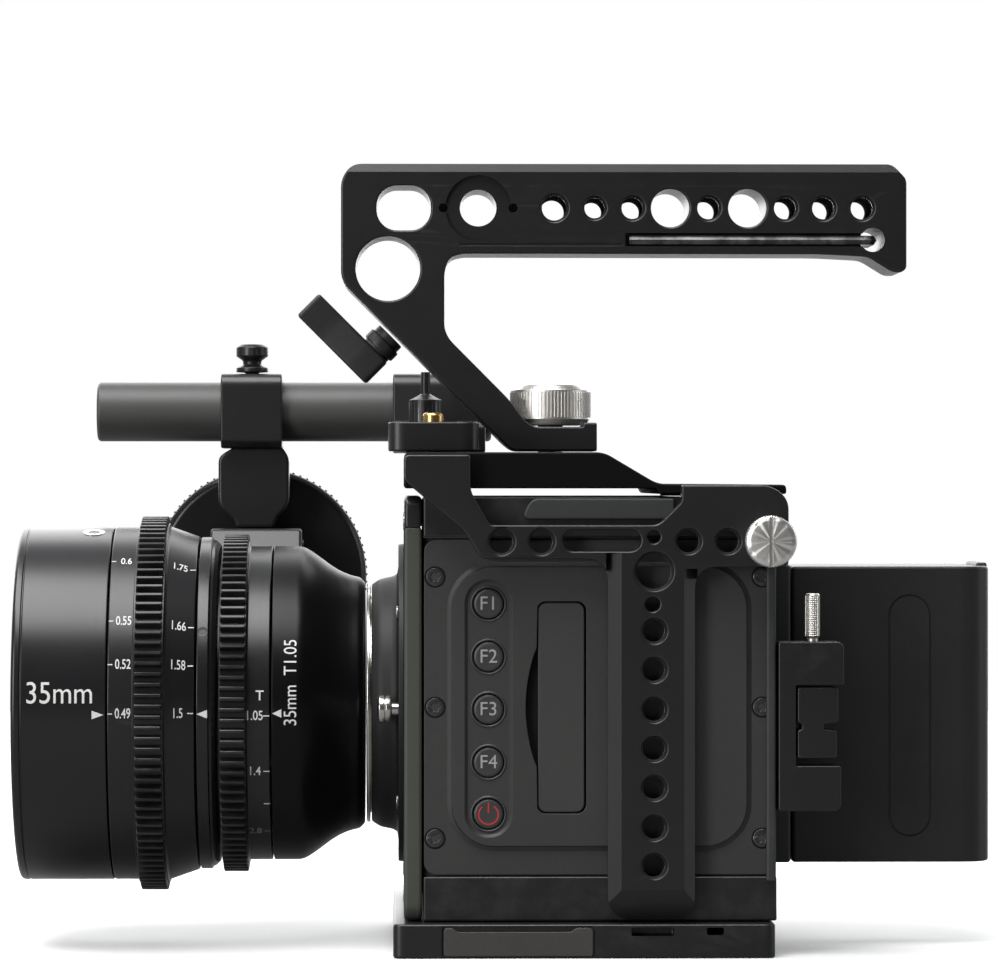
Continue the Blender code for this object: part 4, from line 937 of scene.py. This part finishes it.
screw = {"x": -6.7, "top": 134.6, "radius": 9.55, "holeHeight": 129.6, "holeTurns": (0, 70, 110, 180, 222, 318)}
at = (screw["x"], 0, 0)
screwPiece = finishPiece(spinShape([(screw["top"], 0), (screw["top"], 8.3, 0.4), (133.6, 9.2, 0.2),
    (133.2, screw["radius"], 0.1), (126.2, screw["radius"], 0.1),
             (125.9, 9.3, 0.1), (124.7, 8.4, 0.2), (124.7, 3.0), (111.0, 3.0), (111.0, 0)], at, "Z", steps=120),
            "handleScrew", "brushedSteel", ["handle_screw"])
carve(screwPiece, joinShapes(*[barShape((screw["x"], 0, screw["holeHeight"]),
    Vector((screw["x"], 0, screw["holeHeight"])) + 11 * Vector(
    (math.cos(a), math.sin(a), 0)), 1.45, rim=0, segments=28) for a in map(math.radians, screw["holeTurns"])]))
finishPiece(ridgeRing(72, 9.3, 9.8, 126.5, 132.9, at, width=0.5, taper=0.35), "handleScrewGrip", "brushedSteel",
            body="handle_screw", sharp=20)

key = {"path": ((12.0, -10.6, 169.3), (68.6, -10.6, 169.3), (69.6, -10.35, 169.3), (70.35, -9.6, 169.3),
    (70.6, -8.6, 169.3),
                (keyBore[0], 9.0, keyBore[1])), "thick": 1.22}
line = bpy.data.curves.new("keyLine", "CURVE")
line.dimensions = "3D"
line.bevel_depth = key["thick"]
line.bevel_resolution = 1
line.use_fill_caps = True
run = line.splines.new("POLY")
run.points.add(len(key["path"]) - 1)
for point, place in zip(run.points, key["path"]):
    point.co = (*place, 1)
finishPiece(meshOfCurve(line, Matrix.Identity(4)), "hexKey", "keySteel", ["hex_key"], sharp=25)
print("handle done")

# shoe and rods
pin = {"x": -35.3, "y": -25.0, "tip": 127.5, "radius": 2.5}
shoe = finishPiece(flatShape([roundCorners([(-46, -34, 4), (-24.5, -34, 4), (-24.5, -16, 4), (-46, -16, 4)],
    4)], "XY", 118.3, 125.2,
                             rim=0.45, steps=3), "shoeBlock", "cageBlack", ["shoe_block"])
carve(shoe, barShape((pin["x"], pin["y"], 119.5), (pin["x"], pin["y"], 127), pin["radius"] + 0.3, rim=0))
for i, x in enumerate((-42.6, -27.9)):
    finishPiece(barShape((x, pin["y"], 124.9), (x, pin["y"], 125.5), 1.7), "shoeScrew%d" % i, "blackSteel")
finishPiece(spinShape([(pin["tip"], 0), (pin["tip"], 1.9, 0.3), (127.0, pin["radius"], 0.4),
    (122.4, pin["radius"]),
                       (122.4, 0)], (pin["x"], pin["y"], 0), "Z", steps=48), "shoePin", "brassPin",
                       ["shoe_pin"])

rod = {"x0": -120.0, "x1": -20.0, "y": 62.0, "z": 128.8, "radius": 7.5}
d = rod
rodHole = ringLoop(d["y"], d["z"], d["radius"] + 0.1, 64)
finishPiece(spinShape([(d["x0"], 4.0, 0.2), (d["x0"], 6.9, 0.3), (d["x0"] + 0.6, d["radius"], 0.3),
    (d["x1"] - 0.6, d["radius"], 0.3),
                       (d["x1"], 6.9, 0.3), (d["x1"], 4.0)], (0, d["y"], d["z"]), "X", steps=80), "supportRod",
                       "rodGreyAndHighlight",
            ["support_rod"])
bracketScrewAt, knobAt = (-36.8, 40, 0), (-80.8, d["y"], 0)
bracketOutline = roundCorners([(28, 118.3, 1), (70.5, 118.3, 2), (72, 119.8, 2), (72, 136.4, 3), (70, 138.4, 3),
    (54, 138.4, 3),
                               (52, 136.4, 3), (50, 125, 1.5), (28, 125, 1.2)], 1)
finishPiece(flatShape([bracketOutline, rodHole], "YZ", -45, -22, rim=0.5, steps=3), "rodBracket",
            "cageBlack", ["rod_bracket"])
finishPiece(joinShapes(
    spinShape([(138.5, 0), (138.5, 1.2, 0.15), (133.0, 1.2, 0.2), (132.2, 2.6, 0.2), (131.5, 4.1, 0.2),
        (125.6, 4.15, 0.3),
               (125.4, 2.0), (119.4, 2.0), (119.4, 0)], bracketScrewAt, "Z", steps=48),
    ridgeRing(22, 3.9, 4.15, 125.9, 131.2, bracketScrewAt, width=0.5)), "bracketScrew", "blackSteel",
    ["bracket_screw"])
clampOutline = roundCorners([(53.5, 119.5, 1.5), (70.5, 119.5, 1.5), (72, 121, 1.5), (72, 136.4, 3),
    (70, 138.4, 3), (54, 138.4, 3),
                             (52, 136.4, 3), (52, 121, 1.5)], 1)
finishPiece(joinShapes(
    flatShape([clampOutline, rodHole], "YZ", -88.5, -73, rim=0.45, steps=3),
    flatShape([roundCorners([(-85.0, 120.0, 0.8), (-73.2, 120.0, 0.8), (-71.3, 117.4, 1.5), (-71.3, 105.2, 2.0),
        (-74.6, 101.6, 1.5),
                             (-75.2, 99.4, 0.5), (-84.6, 99.4, 0.5), (-85.4, 101.6, 1.5), (-89.2, 105.2, 2.0),
                             (-89.2, 117.4, 1.5)], 1)],
              "XZ", 55.5, 67.5, rim=0.8, steps=3)), "rodClamp", "cageBlack", ["front_rod_clamp"])
finishPiece(joinShapes(
    spinShape([(146, 0), (146, 2.9, 0.3), (145.2, 4.1, 0.3), (143.0, 4.1, 0.2), (141.8, 2.4, 0.3),
        (140.8, 2.4, 0.2),
               (140.0, 4.1, 0.2), (138.9, 4.1, 0.2), (138.7, 1.7), (137.6, 1.7), (137.6, 0)], knobAt, "Z",
               steps=56),
    ridgeRing(20, 3.85, 4.1, 143.1, 144.9, knobAt, width=0.45)), "clampKnob", "blackSteel",
    ["front_clamp_knob"])

# follow focus
box = roundCorners([(44.5, 71.0, 1.5), (63.0, 71.0, 1.5), (66.0, 74.0, 1.5), (66.0, 99.2, 1.0),
    (52.0, 99.2, 1.0), (43.5, 88.0, 1.5),
                    (43.5, 72.0, 1.0)], 1)
finishPiece(flatShape([box], "YZ", -91, -68, rim=0.8, steps=3), "gearbox", "cageBlack", ["gearbox_housing"])
for i, (y, z) in enumerate(((48.0, 75.0), (61.5, 76.0), (61.5, 95.0))):
    for x in (-91.1, -67.9):
        finishPiece(barShape((x - 0.25, y, z), (x + 0.25, y, z), 1.5), "gearboxScrew%d%d" % (i, x < -80),
            "screwSteel")
drive = {"reach": 54.12, "teeth": 24, "root": 8.55, "tip": 10.3}
v = drive
turn = math.radians(focusRing["phase"])
gearAt = (0, v["reach"] * math.cos(turn), axisHeight + v["reach"] * math.sin(turn))
finishPiece(joinShapes(
    spinShape([(-105.5, 0), (-105.5, 2.2, 0.3), (-105.2, 3.2, 0.3), (-105.0, 3.2), (-105.0, v["root"], 0.2),
        (-99.4, v["root"], 0.2),
               (-99.4, 3.0), (-86.0, 3.0), (-86.0, 0)], gearAt, "X", steps=96),
    gearTeeth(v["teeth"], v["root"], v["tip"], -105.2, -99.3, driveTurn + math.pi + math.pi / v["teeth"],
        centre=gearAt)),
    "driveGear", "toothBlack", ["drive_gear"])
wheel = {"x": -78.9, "z": 87.3, "radius": 27.1}
at = (wheel["x"], 0, wheel["z"])
finishPiece(joinShapes(
    spinShape([(78.3, 0), (78.3, 6.5, 0.5), (76.5, 9.0, 1.0), (76.5, 20.0, 1.0), (78.4, 23.0, 1.0),
        (78.4, 25.4, 0.8),
               (76.7, wheel["radius"], 0.8), (70.6, wheel["radius"], 0.8), (68.9, 25.6, 0.8), (68.9, 6.0, 0.4),
               (68.5, 3.0), (59.0, 3.0),
               (59.0, 0)], at, "Y", steps=160),
    ridgeRing(90, 26.9, 27.35, 71.2, 76.1, at, axis="Y", width=0.8)), "handWheel", "ringBlack", ["hand_wheel"],
    body="hand_wheel")
print("follow focus done")

# battery
plate = finishPiece(joinShapes(
    blockShape((45.3, 50.2), (-20.0, 20.0), (20.0, 91.2), 0.7),
    blockShape((49.8, 52.0), (-13.4, -10.6), (30, 78), 0.3),
    blockShape((49.8, 52.0), (10.6, 13.4), (30, 78), 0.3)), "batteryPlate", "bodyPaint", ["battery_plate"])
carve(plate, blockShape((46.3, 51.0), (16.4, 21.0), (73.8, 84.2), 0.2))
pack = {"x": (50.6, 98.4), "half": 19.0, "z": (20.0, 90.8)}
x0, x1, q = *pack["x"], pack["half"]
battery = finishPiece(flatShape([roundCorners([(x0, -q, 1.0), (x1, -q, 7.5), (x1, q, 7.5), (x0, q, 1.0)], 1)],
    "XY", *pack["z"],
                                rim=0.7, steps=3), "battery", "batteryPlastic", ["battery"])
capsule = slotLoop(73.7, 84.0, 26.2, 84.2, 5.1, 14)
groove = slotLoop(74.2, 83.5, 26.7, 83.7, 4.6, 14)
carve(battery, joinShapes(blockShape((50.0, 52.5), (-13.9, -10.1), (19, 78.5), 0.1),
                          blockShape((50.0, 52.5), (10.1, 13.9), (19, 78.5), 0.1)),
      joinShapes(flatShape([capsule, groove], "XZ", -19.6, -18.6, rim=0.05),
          flatShape([capsule, groove], "XZ", 18.6, 19.6, rim=0.05)))
finishPiece(blockShape((95.6, 98.3), (-11.0, 11.0), (90.0, 91.6), 0.6), "batteryLip", "batteryPlastic",
    body="battery")
finishPiece(blockShape((46.5, 49.0), (16.6, 21.6), (74.0, 84.0), 0.5), "batteryButton", "buttonPlastic",
    ["battery_button"])
print("battery done")

# cable clamp
thumbAt = (53.7, -42, 0)
clampBody = finishPiece(flatShape([roundCorners([
    (45.3, 73.6, 0.6), (59.7, 73.6, 1.2), (60.7, 72.6, 1.2), (60.7, 63.5, 0.6), (49.4, 63.5, 0.4),
    (49.4, 44.6, 0.4),
    (60.0, 44.6, 0.6), (60.0, 35.0, 1.2), (59.0, 34.0, 1.2), (45.3, 34.0, 0.6)], 0.5)], "XZ", -47, -37, rim=0.4,
    steps=3),
    "clampBody", "cageBlack", ["cable_clamp_body"])
carve(clampBody, barShape((53.7, -42, 60), (53.7, -42, 80), 1.5, rim=0))
finishPiece(flatShape([roundCorners([
    (49.8, 63.0, 0.6), (59.4, 63.0, 0.8), (59.4, 54.8, 0.6), (56.0, 54.2, 0.3), (56.0, 53.2, 0.3),
    (59.0, 52.8, 0.5),
    (59.0, 46.3, 0.8), (49.8, 46.3, 0.5), (49.8, 52.8, 0.3), (50.8, 53.2, 0.2), (50.8, 54.2, 0.2),
    (49.8, 54.8, 0.3)], 0.5)],
    "XZ", -46.5, -37.5, rim=0.4, steps=3), "clampJaw", "cageBlack", ["cable_clamp_jaw"])
finishPiece(joinShapes(
    spinShape([(84.8, 0), (84.8, 1.45, 0.1)] + [(84.4 - 0.25 * i, 1.68 - 0.22 * (i % 2),
        0) for i in range(39)] +
              [(74.4, 1.25), (63.4, 1.25), (63.4, 0)], thumbAt, "Z", steps=48),
    ridgeRing(22, 1.5, 1.72, 74.7, 84.4, thumbAt, width=0.22, taper=0.4)), "clampThumbscrew", "brushedSteel",
    ["clamp_thumbscrew"])
print("cable clamp done")

lock = {"x": 43.0, "z": 97.2, "radius": 5.9, "waves": (9, 14), "depth": 0.13}
c = lock
head = spinShape([(-57.0, 0), (-56.98, 1.6, 0.1), (-56.95, 3.2, 0.1), (-56.85, 4.9, 0.3),
    (-56.3, c["radius"], 0.3),
                  (-52.7, c["radius"], 0.3), (-51.9, 5.2, 0.2), (-51.8, 2.0), (-48.2, 2.0), (-48.2, 0)],
                 (c["x"], 0, c["z"]), "Y", steps=96)
for vert in head.verts:                                  # the turned face catches light in rays
    if vert.co.y < -56.5:
        u, w = vert.co.x - c["x"], vert.co.z - c["z"]
        a = math.atan2(w, u)
        vert.co.y += c["depth"] * min(1, math.hypot(u,
            w) / 4) * (1.1 + 0.6 * math.sin(c["waves"][0] * a) + 0.5 * math.sin(
            c["waves"][1] * a + 1))
lockScrew = finishPiece(head, "cageLockScrew", "brushedSteel", ["cage_lock_screw"])
carve(lockScrew, blockShape((c["x"] - 0.5, c["x"] + 0.5), (-58, -56.0), (c["z"] - 8, c["z"] + 8), 0.05))
finishPiece(ridgeRing(64, 5.7, 6.0, -56.3, -52.5, (c["x"], 0, c["z"]), axis="Y", width=0.34), "lockScrewGrip",
    "brushedSteel",
            body="cage_lock_screw")
print("lock screw done")

# inner pieces keep their CAD shape
inner = {"image_sensor": "glassCoated", "main_board": "boardGreen", "heat_sink": "finAlloy",
    "fan_frame": "batteryPlastic",
         "fan_rotor": "buttonPlastic"}
for name, finish in inner.items():
    mesh = frame["nodes"][name].data
    if mesh.materials:
        for i in range(len(mesh.materials)):
            mesh.materials[i] = finishes[finish]
    else:
        mesh.materials.append(finishes[finish])

# room, light and camera
floor = bmesh.new()
bmesh.ops.create_circle(floor, cap_ends=True, segments=96, radius=1.25)
bmesh.ops.subdivide_edges(floor, edges=[e for e in floor.edges if e.calc_length() > 0.5], cuts=1)
mesh = bpy.data.meshes.new("floor")
floor.to_mesh(mesh)
floor.free()
floorMaterial = buildMaterial("floorPale", lookOf((0.86, 0.86, 0.86), 0.55, bump=0.0, wear=0.0, dust=0.0,
                                                cloud=0.02, specular=0.3))
tree = floorMaterial.node_tree
shader = tree.nodes["Principled BSDF"]
pale = shader.inputs["Base Color"].links[0].from_socket
rays = tree.nodes.new("ShaderNodeLightPath")               # the floor throws back less light than it shows
tree.links.new(mixColour(tree, rays.outputs["Is Camera Ray"], (0.22, 0.22, 0.22), pale),
    shader.inputs["Base Color"])
mesh.materials.append(floorMaterial)
floorPiece = bpy.data.objects.new("floor", mesh)
bpy.context.scene.collection.objects.link(floorPiece)
floorPiece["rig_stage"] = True

light = {"dim": 0.05, "room": 0.5, "roomTone": (0.95, 0.97, 1.0), "top": 20.0, "left": 12.0, "right": 2.5,
    "back": 36.0}
world = bpy.data.worlds.new("studio")
world.use_nodes = True
tree = world.node_tree
tree.nodes.clear()
rays = tree.nodes.new("ShaderNodeLightPath")
seen, fill = tree.nodes.new("ShaderNodeBackground"), tree.nodes.new("ShaderNodeBackground")
seen.inputs["Color"].default_value = (1, 1, 1, 1)
fill.inputs["Color"].default_value = (*light["roomTone"], 1)
heading = tree.nodes.new("ShaderNodeSeparateXYZ")          # the room is dim behind the viewer
tree.links.new(tree.nodes.new("ShaderNodeTexCoord").outputs["Generated"], heading.inputs[0])
tree.links.new(rangeNode(tree, heading.outputs["Y"], -0.5, 0.7, light["dim"], light["room"]),
    fill.inputs["Strength"])
both = tree.nodes.new("ShaderNodeMixShader")
tree.links.new(rays.outputs["Is Camera Ray"], both.inputs[0])
tree.links.new(fill.outputs[0], both.inputs[1])
tree.links.new(seen.outputs[0], both.inputs[2])
tree.links.new(both.outputs[0], tree.nodes.new("ShaderNodeOutputWorld").inputs[0])
bpy.context.scene.world = world
bpy.context.scene.view_settings.view_transform = "Standard"


def softBox(name, power, size, place, target):
    lamp = bpy.data.lights.new(name, "AREA")
    lamp.shape = "RECTANGLE"
    lamp.size, lamp.size_y = size
    lamp.energy = power
    holder = bpy.data.objects.new(name, lamp)
    holder.location = place
    holder.visible_camera = False
    holder.rotation_euler = (Vector(target) - Vector(place)).to_track_quat("-Z", "Y").to_euler()
    bpy.context.scene.collection.objects.link(holder)
    holder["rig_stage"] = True


middle = (-0.01, 0, 0.09)
softBox("topLight", light["top"], (1.1, 0.7), (-0.30, -0.30, 1.15), middle)
softBox("leftLight", light["left"], (0.5, 1.0), (-1.05, -1.15, 0.45), middle)
softBox("rightLight", light["right"], (0.4, 1.0), (1.3, -0.1, 0.5), middle)
softBox("backLight", light["back"], (2.6, 1.5), (0.0, 1.5, 0.75), middle)

shot = {"place": (-0.0432, -1.25, 0.1116), "lens": 185.6, "yaw": 1.107, "sensor": 36.0}
camera = bpy.data.cameras.new("camera")
camera.lens = shot["lens"]
camera.sensor_width = shot["sensor"]
camera.sensor_fit = "HORIZONTAL"
camera.clip_start, camera.clip_end = 0.05, 30.0
viewer = bpy.data.objects.new("camera", camera)
viewer.location = shot["place"]
viewer.rotation_euler = (math.radians(90), 0, -math.radians(shot["yaw"]))
bpy.context.scene.collection.objects.link(viewer)
bpy.context.scene.camera = viewer
bpy.context.view_layer.update()

for piece in bpy.context.scene.objects:                     # flat faces stay flat beside their rounded rims
    if piece.type == "MESH" and "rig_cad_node" not in piece and not piece.get("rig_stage"):
        piece.modifiers.new("normals", "WEIGHTED_NORMAL").keep_sharp = True
